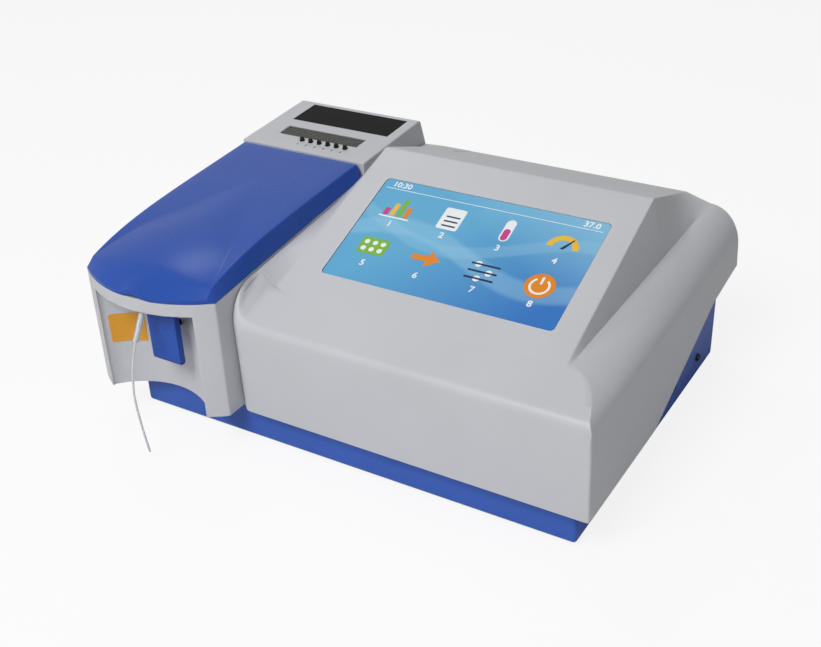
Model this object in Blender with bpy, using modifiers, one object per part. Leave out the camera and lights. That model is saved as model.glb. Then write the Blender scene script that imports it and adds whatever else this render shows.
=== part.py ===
"""Benchtop chemistry analyzer with a sloped touch panel and a lidded sampling module.

All lengths are in metres. X runs to the right, Y to the rear and Z up from the table.
The origin is at the centre of the analyzer's footprint, on the table.
"""
import math

import bmesh
import bpy
import numpy as np
from mathutils import Matrix, Vector

# Clearances and cutting overrun.
FIT_GAP = 0.0003
SEAM_GAP = 0.0005
OVERRUN = 0.004
MERGE_DISTANCE = 0.00001

# Main housing: a grey shell with a sloped panel, a rear roof and a rounded right shoulder.
SHELL_WALL = 0.0025
MAIN_WIDTH = 0.234
SKIRT_HEIGHT = 0.024
SKIRT_RISE_START = 0.097
SKIRT_RISE_END = 0.193
SKIRT_RISE_HEIGHT = 0.063
SKIRT_REAR_HEIGHT = 0.069
FRONT_LEAN = 0.002
CREASE_HEIGHT = 0.088
CREASE_RADIUS = 0.006
PANEL_SETBACK = 0.031
PANEL_HEIGHT = 0.098
PANEL_RUN = 0.124
PANEL_TILT = math.radians(20.6)
ROOF_RUN = 0.080
ROOF_END_HEIGHT = 0.1157
ROOF_EDGE_RADIUS = 0.004
REAR_LEAN = 0.0025
LEFT_CREASE_FRONT = 0.013
LEFT_CREASE_REAR = 0.017
RAMP_CORNER_HEIGHT = 0.104
RAMP_RADIUS = 0.010
RAMP_START_SETBACK = 0.017
RAMP_START_HEIGHT = 0.1062
RAMP_RIDGE_HEIGHT = 0.1205
RAMP_SINK_SHARE = 2.6
WEDGE_EDGE_FRONT = 0.0295
WEDGE_EDGE_RIDGE = 0.031
WEDGE_EDGE_ROOF = 0.037
NOTCH_RADIUS = 0.028
NOTCH_FALL = 0.016
BROW_ARC_SHARE = 0.97
SHOULDER_RIDGE_RADIUS = 0.023
SHOULDER_RIDGE_FALL = 0.020
SHOULDER_REAR_RADIUS = 0.020
SHOULDER_REAR_FALL = 0.025
FRONT_EDGE_RADIUS = 0.0025
SHOULDER_RIDGE_HEIGHT = 0.1065
SHOULDER_REAR_HEIGHT = 0.112
BROW_SHARES = (0.40, 0.65, 0.82, 0.92)
SHOULDER_STEPS = 5
SHELL_POST_RADIUS = 0.003
SHELL_POST_INSET = 0.016
SHELL_POST_SETBACK = 0.017
SHELL_POST_PITCH = 0.070

# Sampling module: the lidded grey block at the left with a bowed nose.
MODULE_WIDTH = 0.102
NOSE_PROJECTION = 0.028
NOSE_SAGITTA = 0.018
NOSE_STEPS = 14
DECK_THICKNESS = 0.0025
LID_REST_GAP = 0.0005
BEZEL_DEPTH = 0.0823
BEZEL_FRONT_HEIGHT = 0.1302
LID_FRONT_DEPTH = 0.0259
LID_REAR_DEPTH = 0.0090
LID_LOW_FRONT = BEZEL_FRONT_HEIGHT - LID_FRONT_DEPTH
LID_LOW_REAR = BEZEL_FRONT_HEIGHT - LID_REAR_DEPTH
BEZEL_TILT = math.radians(3.6)
BEZEL_REAR_LEAN = 0.0065
BEZEL_EDGE_RADIUS = 0.003
POCKET_EDGE_DEPTH = 0.00275
PILLAR_WIDTH = 0.0125
POCKET_HALF_WIDTH = MODULE_WIDTH / 2 - PILLAR_WIDTH
POCKET_DEPTH = 0.030
POCKET_CEILING_DROP = 0.0093
POCKET_TOP = LID_LOW_FRONT - POCKET_CEILING_DROP
POCKET_STEPS = 14
LIP_THICKNESS = 0.0025
POCKET_WALL = 0.0025
PILLAR_DEPTH = 0.023

# Lid: a blue skin with bevelled sides, a low dome and a sloping front visor.
LID_SKIN = 0.0018
LID_SIDE_LEAN = 0.004
LID_BEND_SETBACK = 0.074
LID_CREASE_SETBACK = 0.021
LID_CREASE_DROP = 0.0182
LID_CREASE_HEIGHT = BEZEL_FRONT_HEIGHT - LID_CREASE_DROP
LID_LIP = 0.0025
LID_REAR_GAP = 0.001
LID_HEEL = 0.002
LID_EDGE_RADIUS = 0.003
DOME_HEIGHT = 0.006
DOME_HALF_WIDTH = MODULE_WIDTH / 2 - LID_SIDE_LEAN
DOME_CENTRE_SETBACK = 0.033
DOME_LENGTH = 0.076
LID_COLUMNS = 14
LID_TOP_SHARES = (0.16, 0.36, 0.52, 0.66, 0.80, 0.91, 1.0)
LID_SLOPE_SHARES = (0.18, 0.36, 0.54, 0.72, 0.88, 1.0)
LID_VISOR_SHARE = 0.5
THUMB_NOTCH_RADIUS = 0.025
THUMB_NOTCH_HEIGHT = 0.002
LID_HINGE_INSET = 0.0045
LID_HINGE_DROP = 0.0046
LID_PIN_RADIUS = 0.001
LID_KNUCKLE_RADIUS = 0.0021
LID_KNUCKLE_LENGTH = 0.006
LID_LUG_LENGTH = 0.004
LID_LUG_INSET = 0.008
LID_LUG_DEPTH = 0.005
HINGE_TROUGH_DEPTH = 0.0012
HINGE_TROUGH_WIDTH = 0.009

# Bezel fittings: smoked window, perforated strip, six keys and the board behind them.
WINDOW_MARGIN = 0.0105
WINDOW_WIDTH = MODULE_WIDTH - 2 * WINDOW_MARGIN
WINDOW_LENGTH = 0.0282
WINDOW_START = 0.0425
WINDOW_OFFSET = 0.003
WINDOW_LAP = 0.002
WINDOW_THICKNESS = 0.002
STRIP_MARGIN = 0.0185
STRIP_WIDTH = MODULE_WIDTH - 2 * STRIP_MARGIN
STRIP_LENGTH = 0.0125
STRIP_START = 0.0195
STRIP_OFFSET = 0.0
STRIP_RECESS = 0.0003
STRIP_HOLE = 0.0016
STRIP_HOLE_COLUMNS = 13
STRIP_HOLE_ROWS = 3
KEY_COUNT = 6
KEY_PITCH = 0.0072
KEY_RADIUS = 0.0017
KEY_START = 0.0145
KEY_OFFSET = 0.0085
KEY_PROUD = 0.0016
KEY_CLEARANCE = 0.0003
KEY_FLANGE_RADIUS = 0.0028
KEY_FLANGE_THICKNESS = 0.0008
KEY_TRAVEL = 0.0006
KEY_TOP_SHARE = 0.7
KEY_EDGE_SHARE = 0.75
BOARD_THICKNESS = 0.0016
DISPLAY_BOARD_DROP = 0.0085
DISPLAY_BOARD_MARGIN = 0.002
DISPLAY_POST_INSET = 0.0065
DISPLAY_POST_RADIUS = 0.0022
DISPLAY_POST_STARTS = (0.009, 0.034)
TACT_RADIUS = 0.0025
DIGIT_BLOCK_MARGIN = 0.003

# Aspiration trigger in the front pocket, its pin, push rod and switch.
TRIGGER_WIDTH = 0.0218
TRIGGER_THICKNESS = 0.0045
TRIGGER_OFFSET = 0.010
TRIGGER_SETBACK = 0.013
TRIGGER_LENGTH = 0.0432
TRIGGER_PIVOT_RISE = 0.003
TRIGGER_PIVOT_HEIGHT = POCKET_TOP + TRIGGER_PIVOT_RISE
TRIGGER_BOTTOM = TRIGGER_PIVOT_HEIGHT - TRIGGER_LENGTH
TRIGGER_KNUCKLE_RADIUS = 0.0028
TRIGGER_PIN_RADIUS = 0.0012
TRIGGER_LUG_THICKNESS = 0.003
TRIGGER_LUG_RISE = 0.0005
TRIGGER_LUG_BOTTOM = POCKET_TOP + TRIGGER_LUG_RISE
TRIGGER_EDGE = 0.0008
ROD_RADIUS = 0.002
ROD_DROP = 0.023
ROD_REACH = 0.017
ROD_TRAVEL = 0.0017
SWITCH_WIDTH = 0.0105
SWITCH_HEIGHT = 0.018
SWITCH_LENGTH = 0.012
SWITCH_PAD_DEPTH = 0.0045

# Sampling nozzle, its clear sleeve and the thin tube that hangs from it.
NOZZLE_WIDTH = 0.007
NOZZLE_LENGTH = 0.0075
NOZZLE_HEIGHT = 0.0055
NOZZLE_SETBACK = 0.0035
NOZZLE_OFFSET = 0.0042
SLEEVE_RADIUS = 0.0019
SLEEVE_BORE = 0.0011
SLEEVE_RUN = 0.0125
SLEEVE_FALL = 0.0165
SLEEVE_DRIFT = 0.002
TUBE_RADIUS = 0.0007
TUBE_POINTS = 34
TUBE_SPAN_STEPS = 12
# Route of the free tube from the sleeve's end: steps to the right, to the rear and up.
TUBE_ROUTE = (
    (0.0, 0.0, 0.0),
    (0.0006, -0.0030, -0.0045),
    (0.0014, -0.0068, -0.0130),
    (0.0016, -0.0092, -0.0245),
    (0.0024, -0.0107, -0.0340),
    (0.0037, -0.0110, -0.0466),
    (0.0043, -0.0100, -0.0600),
    (0.0046, -0.0083, -0.0735),
)

# Touch screen.
SCREEN_WIDTH = 0.1541
SCREEN_LENGTH = 0.0859
SCREEN_START = 0.0197
SCREEN_CENTRE = 0.12335
SCREEN_CORNER = 0.003
GLASS_RECESS = 0.0004
LCD_MARGIN = 0.005
LCD_THICKNESS = 0.007

# Printer under the rear roof.
COVER_WIDTH = 0.106
COVER_CENTRE = 0.143
COVER_START = 0.052
COVER_THICKNESS = 0.0025
COVER_GAP = 0.0004
COVER_FOOT_GAP = 0.0012
COVER_BOTTOM = 0.084
COVER_PIN_RADIUS = 0.0015
COVER_PIN_LENGTH = 0.004
COVER_PIVOT_RISE = 0.003
COVER_PIVOT_INSET = 0.0022
FRAME_WALL = 0.0025
FRAME_SETBACK = 0.0385
FRAME_FLOOR = 0.0775
FRAME_REAR_TOP = 0.0812
FRAME_ARM_RISE = 0.009
ROLL_RADIUS = 0.0145
ROLL_WIDTH = 0.057
FRAME_SIDE_CLEARANCE = 0.005
FRAME_WIDTH = ROLL_WIDTH + 2 * (FRAME_WALL + FRAME_SIDE_CLEARANCE)
ROLL_BORE = 0.0063
ROLL_SETBACK = 0.059
ROLL_HEIGHT = 0.0970
HUB_REACH = 0.008
PLATEN_RADIUS = 0.0045
PLATEN_LAP = 0.001
PLATEN_WIDTH = ROLL_WIDTH + PLATEN_LAP
PLATEN_SETBACK = 0.0545
PLATEN_HEIGHT = 0.1174
PLATEN_EAR = 0.003
PLATEN_EAR_HALF = 0.0024
PLATEN_SHAFT = 0.0015
HEAD_INSET = 0.003
HEAD_WIDTH = ROLL_WIDTH - HEAD_INSET
HEAD_HEIGHT = 0.0105
HEAD_RISE = 0.112

# Base tray and feet.
TRAY_WALL = 0.002
TRAY_INSET_RIGHT = 0.010
TRAY_INSET_LEFT = 0.0165
TRAY_INSET_FRONT = 0.007
TRAY_REAR_GAP = 0.0008
TRAY_RISE_LEAD = 0.014
TRAY_TOWER_RADIUS = 0.0045
FOOT_HEIGHT = 0.003
FOOT_RADIUS = 0.008
FOOT_INSET = 0.024
FOOT_TAPER_SHARE = 0.85
SIDE_SCREW_RADIUS = 0.0028
SIDE_SCREW_SHANK = 0.0013
SIDE_SCREW_HEAD = 0.0016
SIDE_SCREW_LENGTH = 0.006
SIDE_SCREW_TOP_SHARE = 0.6
SIDE_SCREW_CROWN_SHARE = 0.9
SIDE_SCREW_EDGE_SHARE = 0.4
SIDE_SCREW_SETBACKS = (0.1488, 0.1946)
SIDE_SCREW_HEIGHTS = (0.0175, 0.0145)

# Optical bench in the module: lamp, lens, flow cell, filter wheel and detector along Y.
BENCH_THICKNESS = 0.004
BENCH_DROP = 0.0503
BENCH_TOP = LID_LOW_FRONT - BENCH_DROP
BENCH_LEFT = 0.0295
BENCH_RIGHT = 0.0095
BENCH_FRONT = 0.046
BENCH_LENGTH = 0.142
BENCH_LEG_RADIUS = 0.0035
BENCH_LEG_INSET = 0.006
AXIS_OFFSET = 0.0135
AXIS_RISE = 0.0348
AXIS_HEIGHT = BENCH_TOP + AXIS_RISE
BLOCK_WIDTH = 0.030
BLOCK_LENGTH = 0.030
BLOCK_SETBACK = 0.095
BLOCK_PROUD = 0.002
CUVETTE_WELL = 0.0126
CUVETTE_DEPTH = 0.034
LIGHT_BORE = 0.003
CELL_SIZE = 0.012
CELL_LENGTH = 0.022
WHEEL_RADIUS = 0.026
WHEEL_THICKNESS = 0.004
WHEEL_SETBACK = 0.085
WHEEL_CIRCLE = 0.0206
WHEEL_DROP = 0.008
FILTER_RADIUS = 0.004
FILTER_COUNT = 8
WHEEL_HUB_RADIUS = 0.005
WHEEL_SHAFT_RADIUS = 0.0025
WHEEL_SHAFT_GRIP = 0.008
MOTOR_SIDE = 0.028
MOTOR_LENGTH = 0.024
MOTOR_GAP = 0.004
DETECTOR_WIDTH = 0.028
DETECTOR_CAN = 0.004
DETECTOR_REACH = 0.006
DETECTOR_SETBACK = 0.074
LAMP_WIDTH = 0.034
LAMP_LENGTH = 0.034
LAMP_HEIGHT = 0.050
LAMP_SETBACK = 0.143
LAMP_CAVITY = 0.010
LAMP_FLOOR = 0.010
LAMP_BASE_RADIUS = 0.0085
LAMP_BASE_HEIGHT = 0.010
LAMP_BULB_RADIUS = 0.005
LAMP_TIP_SHARE = 0.7
LAMP_TIP_DROP_SHARE = 0.4
LAMP_BULB_RISE = 0.049
LAMP_BULB_TOP = BENCH_TOP + LAMP_BULB_RISE
FIN_COUNT = 5
FIN_SLOT = 0.0028
FIN_DEPTH = 0.008
LENS_RADIUS = 0.007
LENS_THICKNESS = 0.003
LENS_CROWN = 0.0012
LENS_SEAT = 0.004
LENS_APERTURE_SHARE = 0.8
LENS_EDGE_SHARE = 0.6

# Peristaltic pump behind the main front face.
PUMP_FROM_SEAM = 0.038
PUMP_SETBACK = 0.034
PUMP_HEIGHT = 0.036
PUMP_SIDE = 0.044
PUMP_DEPTH = 0.018
PUMP_BACK = 0.004
PUMP_CHAMBER = 0.0185
PUMP_ROLLER_CIRCLE = 0.011
PUMP_ROLLER_RADIUS = 0.004
PUMP_ROLLER_LENGTH = 0.009
PUMP_ROLLER_PIN = 0.0014
PUMP_ROLLER_COUNT = 3
PUMP_PLATE_RADIUS = 0.0145
PUMP_PLATE_THICKNESS = 0.0025
PUMP_SHAFT_RADIUS = 0.0025
PUMP_SHAFT_GRIP = 0.006
PUMP_TUBE_RADIUS = 0.0014
PUMP_TUBE_RISE = 0.010
PUMP_MOTOR_RADIUS = 0.014
PUMP_MOTOR_LENGTH = 0.036
PUMP_FOOT_WIDTH = 0.012
PUMP_FOOT_HEIGHT = 0.0114

# Boards and supply on the tray floor.
BOARD_FROM_SEAM = 0.012
BOARD_SETBACK = 0.096
BOARD_WIDTH = 0.100
BOARD_LENGTH = 0.112
BOARD_RISE = 0.008
STANDOFF_RADIUS = 0.003
STANDOFF_INSET = 0.006
CHIP_SIDE = 0.016
CHIP_HEIGHT = 0.0025
CHIP_SHARES = ((0.3, 0.3), (0.3, 0.62), (0.62, 0.4))
HEADER_SHARES = (0.16, 0.5, 0.72)
HEADER_WIDTH = 0.006
HEADER_HEIGHT = 0.009
SUPPLY_WIDTH = 0.080
SUPPLY_LENGTH = 0.098
SUPPLY_HEIGHT = 0.038
SUPPLY_FROM_RIGHT = 0.018
SUPPLY_SETBACK = 0.100
SUPPLY_SLOT_DEPTH = 0.003
SUPPLY_SLOT = 0.003
SUPPLY_SLOT_COUNT = 8
SUPPLY_MARGIN = 0.012

# Rear wall fittings.
FAN_SIDE = 0.050
FAN_DEPTH = 0.012
FAN_FROM_RIGHT = 0.046
FAN_HEIGHT = 0.036
FAN_BORE = 0.0225
FAN_BLADE_RADIUS = 0.0215
FAN_HUB_RADIUS = 0.009
FAN_BLADE_COUNT = 7
FAN_BLADE_THICKNESS = 0.0012
FAN_BLADE_PITCH = math.radians(38.0)
FAN_CHORD_SHARE = 0.8
FAN_ROOT_SHARE = 0.7
FAN_SPIDER_WIDTH = 0.004
FAN_SPIDER_THICKNESS = 0.002
FAN_SHAFT_RADIUS = 0.002
GRILLE_SLOT = 0.003
GRILLE_PITCH = 0.006
GRILLE_COUNT = 7
INLET_WIDTH = 0.027
INLET_HEIGHT = 0.020
INLET_DEPTH = 0.022
INLET_FLANGE_WIDTH = 0.048
INLET_FLANGE_HEIGHT = 0.028
INLET_FLANGE_THICKNESS = 0.002
INLET_SOCKET_WALL = 0.002
INLET_SOCKET_DEPTH = 0.016
INLET_PIN = 0.002
INLET_PIN_REACH = 0.012
INLET_PIN_PITCH = 0.007
INLET_FROM_RIGHT = 0.118
INLET_LEVEL = 0.030
ROCKER_WIDTH = 0.013
ROCKER_HEIGHT = 0.019
ROCKER_PROUD = 0.0035
ROCKER_BODY_WIDTH = 0.017
ROCKER_BODY_HEIGHT = 0.024
ROCKER_BODY_DEPTH = 0.014
ROCKER_BODY_WALL = 0.0015
ROCKER_TILT = math.radians(8.0)
ROCKER_THICKNESS = 0.004
ROCKER_DISH_SHARE = 0.6
ROCKER_AXLE_RADIUS = 0.0012
ROCKER_FROM_INLET = 0.040
ROCKER_FLANGE = 0.0015
SERIAL_WIDTH = 0.031
SERIAL_HEIGHT = 0.0125
SERIAL_SHELL_WIDTH = 0.0185
SERIAL_SHELL_HEIGHT = 0.0085
SERIAL_PROUD = 0.003
SERIAL_DEPTH = 0.010
SERIAL_FROM_SEAM = 0.030
USB_WIDTH = 0.0132
USB_HEIGHT = 0.0058
USB_DEPTH = 0.014
USB_WALL = 0.0006
USB_TONGUE = 0.0018
USB_FROM_SEAM = 0.0545
PORT_LEVEL = 0.030
WASTE_FROM_LEFT = 0.040
WASTE_LEVEL = 0.030
WASTE_RADIUS = 0.0025
WASTE_RIM = 0.0034
WASTE_BORE = 0.0014
WASTE_PROUD = 0.0031
WASTE_NUT = 0.006
WASTE_NUT_THICKNESS = 0.0018
WASTE_REACH = 0.008

# Overall stations, worked out from the sizes above.
BODY_WIDTH = MODULE_WIDTH + SEAM_GAP + MAIN_WIDTH
BODY_DEPTH = NOSE_PROJECTION + PANEL_SETBACK + PANEL_RUN + ROOF_RUN + REAR_LEAN
X_LEFT = -BODY_WIDTH / 2
X_MODULE = X_LEFT + MODULE_WIDTH
X_MAIN = X_MODULE + SEAM_GAP
X_RIGHT = BODY_WIDTH / 2
X_CENTRE = X_LEFT + MODULE_WIDTH / 2
Y_NOSE = -BODY_DEPTH / 2
Y_FRONT = Y_NOSE + NOSE_PROJECTION
Y_PANEL = Y_FRONT + PANEL_SETBACK
Y_RIDGE = Y_PANEL + PANEL_RUN
Y_ROOF_END = Y_RIDGE + ROOF_RUN
Y_REAR = Y_ROOF_END + REAR_LEAN
Z_TRAY = FOOT_HEIGHT
Z_FLOOR = Z_TRAY + TRAY_WALL
Z_SKIRT = Z_TRAY + SKIRT_HEIGHT
Z_PANEL = Z_TRAY + PANEL_HEIGHT
Z_RIDGE = Z_PANEL + PANEL_RUN * math.tan(PANEL_TILT)
Z_ROOF_END = Z_TRAY + ROOF_END_HEIGHT
ROOF_SLOPE = (Z_RIDGE - Z_ROOF_END) / ROOF_RUN
TRAY_LEFT = X_LEFT + TRAY_INSET_LEFT
TRAY_RIGHT = X_RIGHT - TRAY_INSET_RIGHT
TRAY_FRONT = Y_FRONT + TRAY_INSET_FRONT
TRAY_REAR = Y_REAR - SHELL_WALL - TRAY_REAR_GAP
Y_BEZEL = Y_REAR - REAR_LEAN - BEZEL_DEPTH
Z_BEZEL = Z_TRAY + BEZEL_FRONT_HEIGHT
Y_LID_REAR = Y_BEZEL - LID_REAR_GAP
Z_POCKET = Z_TRAY + POCKET_TOP
Z_BENCH = Z_TRAY + BENCH_TOP
Z_AXIS = Z_TRAY + AXIS_HEIGHT
X_AXIS = X_CENTRE + AXIS_OFFSET


def clear_scene():
    """Remove the start scene's objects."""
    for item in list(bpy.data.objects):
        bpy.data.objects.remove(item, do_unlink=True)


def new_collection(name):
    """A collection linked to the scene."""
    group = bpy.data.collections.new(name)
    bpy.context.scene.collection.children.link(group)
    return group


clear_scene()
PARTS = new_collection("chemistry_analyzer")
TOOLS = new_collection("cutters")
FINISHES = {}


def finish(name, colour, roughness, metallic=0.0, alpha=1.0):
    """A Principled material, made once."""
    if name not in FINISHES:
        material = bpy.data.materials.new(name)
        material.use_nodes = True
        shader = material.node_tree.nodes["Principled BSDF"]
        shader.inputs["Base Color"].default_value = (*colour, 1.0)
        shader.inputs["Roughness"].default_value = roughness
        shader.inputs["Metallic"].default_value = metallic
        shader.inputs["Alpha"].default_value = alpha
        material.diffuse_color = (*colour, alpha)
        FINISHES[name] = material
    return FINISHES[name]


def grey_plastic():
    """Light grey moulded housing plastic."""
    return finish("grey_plastic", (0.62, 0.62, 0.64), 0.45)


def blue_plastic():
    """Blue lid and trigger plastic."""
    return finish("blue_plastic", (0.06, 0.14, 0.46), 0.35)


def blue_paint():
    """Blue painted tray."""
    return finish("blue_paint", (0.08, 0.18, 0.50), 0.45)


def black_plastic():
    """Black plastic."""
    return finish("black_plastic", (0.02, 0.02, 0.02), 0.5)


def black_metal():
    """Black anodised aluminium."""
    return finish("black_metal", (0.03, 0.03, 0.035), 0.4, 0.6)


def bare_aluminium():
    """Machined aluminium."""
    return finish("bare_aluminium", (0.72, 0.73, 0.74), 0.35, 1.0)


def steel():
    """Bright steel."""
    return finish("steel", (0.66, 0.66, 0.67), 0.25, 1.0)


def board_green():
    """Circuit board laminate."""
    return finish("board_green", (0.03, 0.22, 0.10), 0.5)


def clear_glass():
    """Clear glass or tube."""
    return finish("clear_glass", (0.85, 0.90, 0.92), 0.05, 0.0, 0.35)


def smoked_glass():
    """Smoked acrylic."""
    return finish("smoked_glass", (0.01, 0.01, 0.012), 0.08)


def screen_glass():
    """Touch glass with the blue picture behind it."""
    return finish("screen_glass", (0.18, 0.48, 0.80), 0.12)


def rubber():
    """Black rubber."""
    return finish("rubber", (0.025, 0.025, 0.025), 0.85)


def paper():
    """White thermal paper."""
    return finish("paper", (0.90, 0.90, 0.88), 0.8)


def outward(shape):
    """Turn every face of a closed shape outwards."""
    bmesh.ops.recalc_face_normals(shape, faces=shape.faces)
    return shape


def block(low, high):
    """A box between two corners."""
    low, high = Vector(low), Vector(high)
    shape = bmesh.new()
    bmesh.ops.create_cube(shape, size=1.0, matrix=Matrix.Diagonal((*(high - low), 1.0)))
    bmesh.ops.translate(shape, vec=(low + high) / 2, verts=shape.verts)
    return shape


def bar(start, end, radius, sides=20, end_radius=None):
    """A cylinder, or a cone where the end radius differs, between two points."""
    start, end = Vector(start), Vector(end)
    run = end - start
    shape = bmesh.new()
    bmesh.ops.create_cone(shape, cap_ends=True, segments=sides, radius1=radius,
                          radius2=radius if end_radius is None else end_radius, depth=run.length)
    turn = run.to_track_quat("Z", "Y").to_matrix().to_4x4()
    bmesh.ops.transform(shape, matrix=turn, verts=shape.verts)
    bmesh.ops.translate(shape, vec=(start + end) / 2, verts=shape.verts)
    return shape


def prism(outline, axis, start, end):
    """A flat outline pushed along X, Y or Z; its points are the two other coordinates in order."""
    place = {"X": lambda a, b: (start, a, b), "Y": lambda a, b: (a, start, b), "Z": lambda a,
             b: (a, b, start)}[axis]
    push = {"X": (end - start, 0, 0), "Y": (0, end - start, 0), "Z": (0, 0, end - start)}[axis]
    shape = bmesh.new()
    face = shape.faces.new([shape.verts.new(place(a, b)) for a, b in outline])
    moved = bmesh.ops.extrude_face_region(shape, geom=[face])["geom"]
    bmesh.ops.translate(shape, vec=push, verts=[v for v in moved if isinstance(v, bmesh.types.BMVert)])
    return outward(shape)


def loft(sections):
    """A closed solid through sections that are closed loops of as many points each."""
    shape = bmesh.new()
    rings = [[shape.verts.new(point) for point in section] for section in sections]
    count = len(rings[0])
    for ring, following in zip(rings, rings[1:]):
        for i in range(count):
            j = (i + 1) % count
            shape.faces.new((ring[i], ring[j], following[j], following[i]))
    shape.faces.new(rings[0])
    shape.faces.new(list(reversed(rings[-1])))
    return outward(shape)


def together(*shapes):
    """Several shapes as one mesh of separate islands."""
    whole = bmesh.new()
    for shape in shapes:
        part = bpy.data.meshes.new("island")
        shape.to_mesh(part)
        shape.free()
        whole.from_mesh(part)
        bpy.data.meshes.remove(part)
    return whole


def moved(shape, matrix):
    """The shape under a matrix."""
    bmesh.ops.transform(shape, matrix=matrix, verts=shape.verts)
    return shape


def new_object(name, shape, origin, group):
    """An object whose mesh is the shape and whose origin is the given point."""
    origin = Vector(origin)
    bmesh.ops.translate(shape, vec=-origin, verts=shape.verts)
    mesh = bpy.data.meshes.new(name)
    shape.to_mesh(mesh)
    shape.free()
    item = bpy.data.objects.new(name, mesh)
    item.location = origin
    group.objects.link(item)
    return item


def piece(name, shape, material, origin=(0, 0, 0), smooth=False):
    """A named part of the analyzer."""
    item = new_object(name, shape, origin, PARTS)
    item.data.materials.append(material)
    if smooth:
        item.data.shade_smooth()
        item.data.set_sharp_from_angle(angle=math.radians(35.0))
    return item


def tool(name, shape):
    """A hidden mesh for a Boolean."""
    item = new_object(name, shape, (0, 0, 0), TOOLS)
    item.hide_render = True
    item.display_type = "WIRE"
    return item


def boolean(target, shape, operation, name):
    """A Boolean of the target with a shape or with a hidden object."""
    other = shape if isinstance(shape, bpy.types.Object) else tool(target.name + "_" + name, shape)
    modifier = target.modifiers.new(name, "BOOLEAN")
    modifier.operation = operation
    modifier.object = other
    return target


def cut(target, shape, name):
    """Take the shape out of the target."""
    return boolean(target, shape, "DIFFERENCE", name)


def join(target, shape, name):
    """Add the shape to the target."""
    return boolean(target, shape, "UNION", name)


def trim(target, shape, name):
    """Keep only what lies inside the shape."""
    return boolean(target, shape, "INTERSECT", name)


def turned(name, profile, material, base, direction, steps=24):
    """A profile of radius and height turned about a direction; a ring's profile ends where it starts."""
    mesh = bpy.data.meshes.new(name)
    ring = profile[0] == profile[-1]
    outline = [(radius, 0, height) for radius, height in (profile[:-1] if ring else profile)]
    edges = [(i, i + 1) for i in range(len(outline) - 1)] + ([(len(outline) - 1, 0)] if ring else [])
    mesh.from_pydata(outline, edges, [])
    item = bpy.data.objects.new(name, mesh)
    item.location = base
    item.rotation_euler = Vector(direction).to_track_quat("Z", "Y").to_euler()
    PARTS.objects.link(item)
    mesh.materials.append(material)
    screw = item.modifiers.new("turn", "SCREW")
    screw.steps = screw.render_steps = steps
    screw.use_merge_vertices = True
    screw.merge_threshold = MERGE_DISTANCE
    screw.use_smooth_shade = False
    return item


def fillet(before, corner, after, radius, steps=2):
    """Points of an arc that rounds a corner between two straight runs, in the plane."""
    before, corner, after = (np.array(p, float) for p in (before, corner, after))
    one = (before - corner) / np.linalg.norm(before - corner)
    two = (after - corner) / np.linalg.norm(after - corner)
    half = math.acos(max(-1.0, min(1.0, float(one @ two)))) / 2
    middle = (one + two) / np.linalg.norm(one + two)
    centre = corner + middle * radius / math.sin(half)
    start = corner + one * radius / math.tan(half) - centre
    stop = corner + two * radius / math.tan(half) - centre
    turn = math.pi - 2 * half
    weights = [i / steps for i in range(steps + 1)]
    return [tuple(centre + (math.sin((1 - w) * turn) * start + math.sin(w * turn) * stop) / math.sin(turn))
            for w in weights]


def rounded_rectangle(width, length, radius, steps=3):
    """Outline of a rectangle about zero with rounded corners."""
    corners = [(-1, -1), (1, -1), (1, 1), (-1, 1)]
    points = []
    for index, (i, j) in enumerate(corners):
        start = math.pi + index * math.pi / 2
        for step in range(steps + 1):
            angle = start + step * math.pi / 2 / steps
            points.append((i * (width / 2 - radius) + radius * math.cos(angle),
                           j * (length / 2 - radius) + radius * math.sin(angle)))
    return points


def slope_frame(x, y, z, tilt):
    """Matrix of a tilted face: local X to the right, local Y up the slope, local Z out of the face."""
    return Matrix.Translation((x, y, z)) @ Matrix.Rotation(tilt, 4, "X")


def nose_radius():
    """Plan radius of the module's bowed nose."""
    half = MODULE_WIDTH / 2
    return (half * half + NOSE_SAGITTA * NOSE_SAGITTA) / (2 * NOSE_SAGITTA)


def nose_y(offset, inset=0.0):
    """Front of the bowed nose at a distance from the module's middle."""
    radius = nose_radius()
    return Y_NOSE + radius - math.sqrt((radius - inset) ** 2 - offset * offset)


def pocket_y(offset, wall=0.0):
    """Rear wall of the front pocket at a distance from the module's middle."""
    bow = POCKET_DEPTH - POCKET_EDGE_DEPTH - (nose_y(POCKET_HALF_WIDTH) - Y_NOSE)
    radius = (POCKET_HALF_WIDTH * POCKET_HALF_WIDTH + bow * bow) / (2 * bow)
    rear = radius + wall
    return Y_NOSE + POCKET_DEPTH - radius + math.sqrt(rear * rear - offset * offset)


def lid_low(y):
    """Height of the lid's lower edge: level along the nose, then rising to the rear."""
    share = (y - (Y_NOSE + NOSE_SAGITTA)) / (Y_LID_REAR - (Y_NOSE + NOSE_SAGITTA))
    return Z_TRAY + LID_LOW_FRONT + max(0.0, share) * (LID_LOW_REAR - LID_LOW_FRONT)


def bezel_z(y):
    """Height of the bezel's face and of the lid's flat top behind its bend."""
    return Z_BEZEL + (y - Y_BEZEL) * math.tan(BEZEL_TILT)


def roof_z(y):
    """Height of the rear roof."""
    return Z_RIDGE - (y - Y_RIDGE) * ROOF_SLOPE


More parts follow.
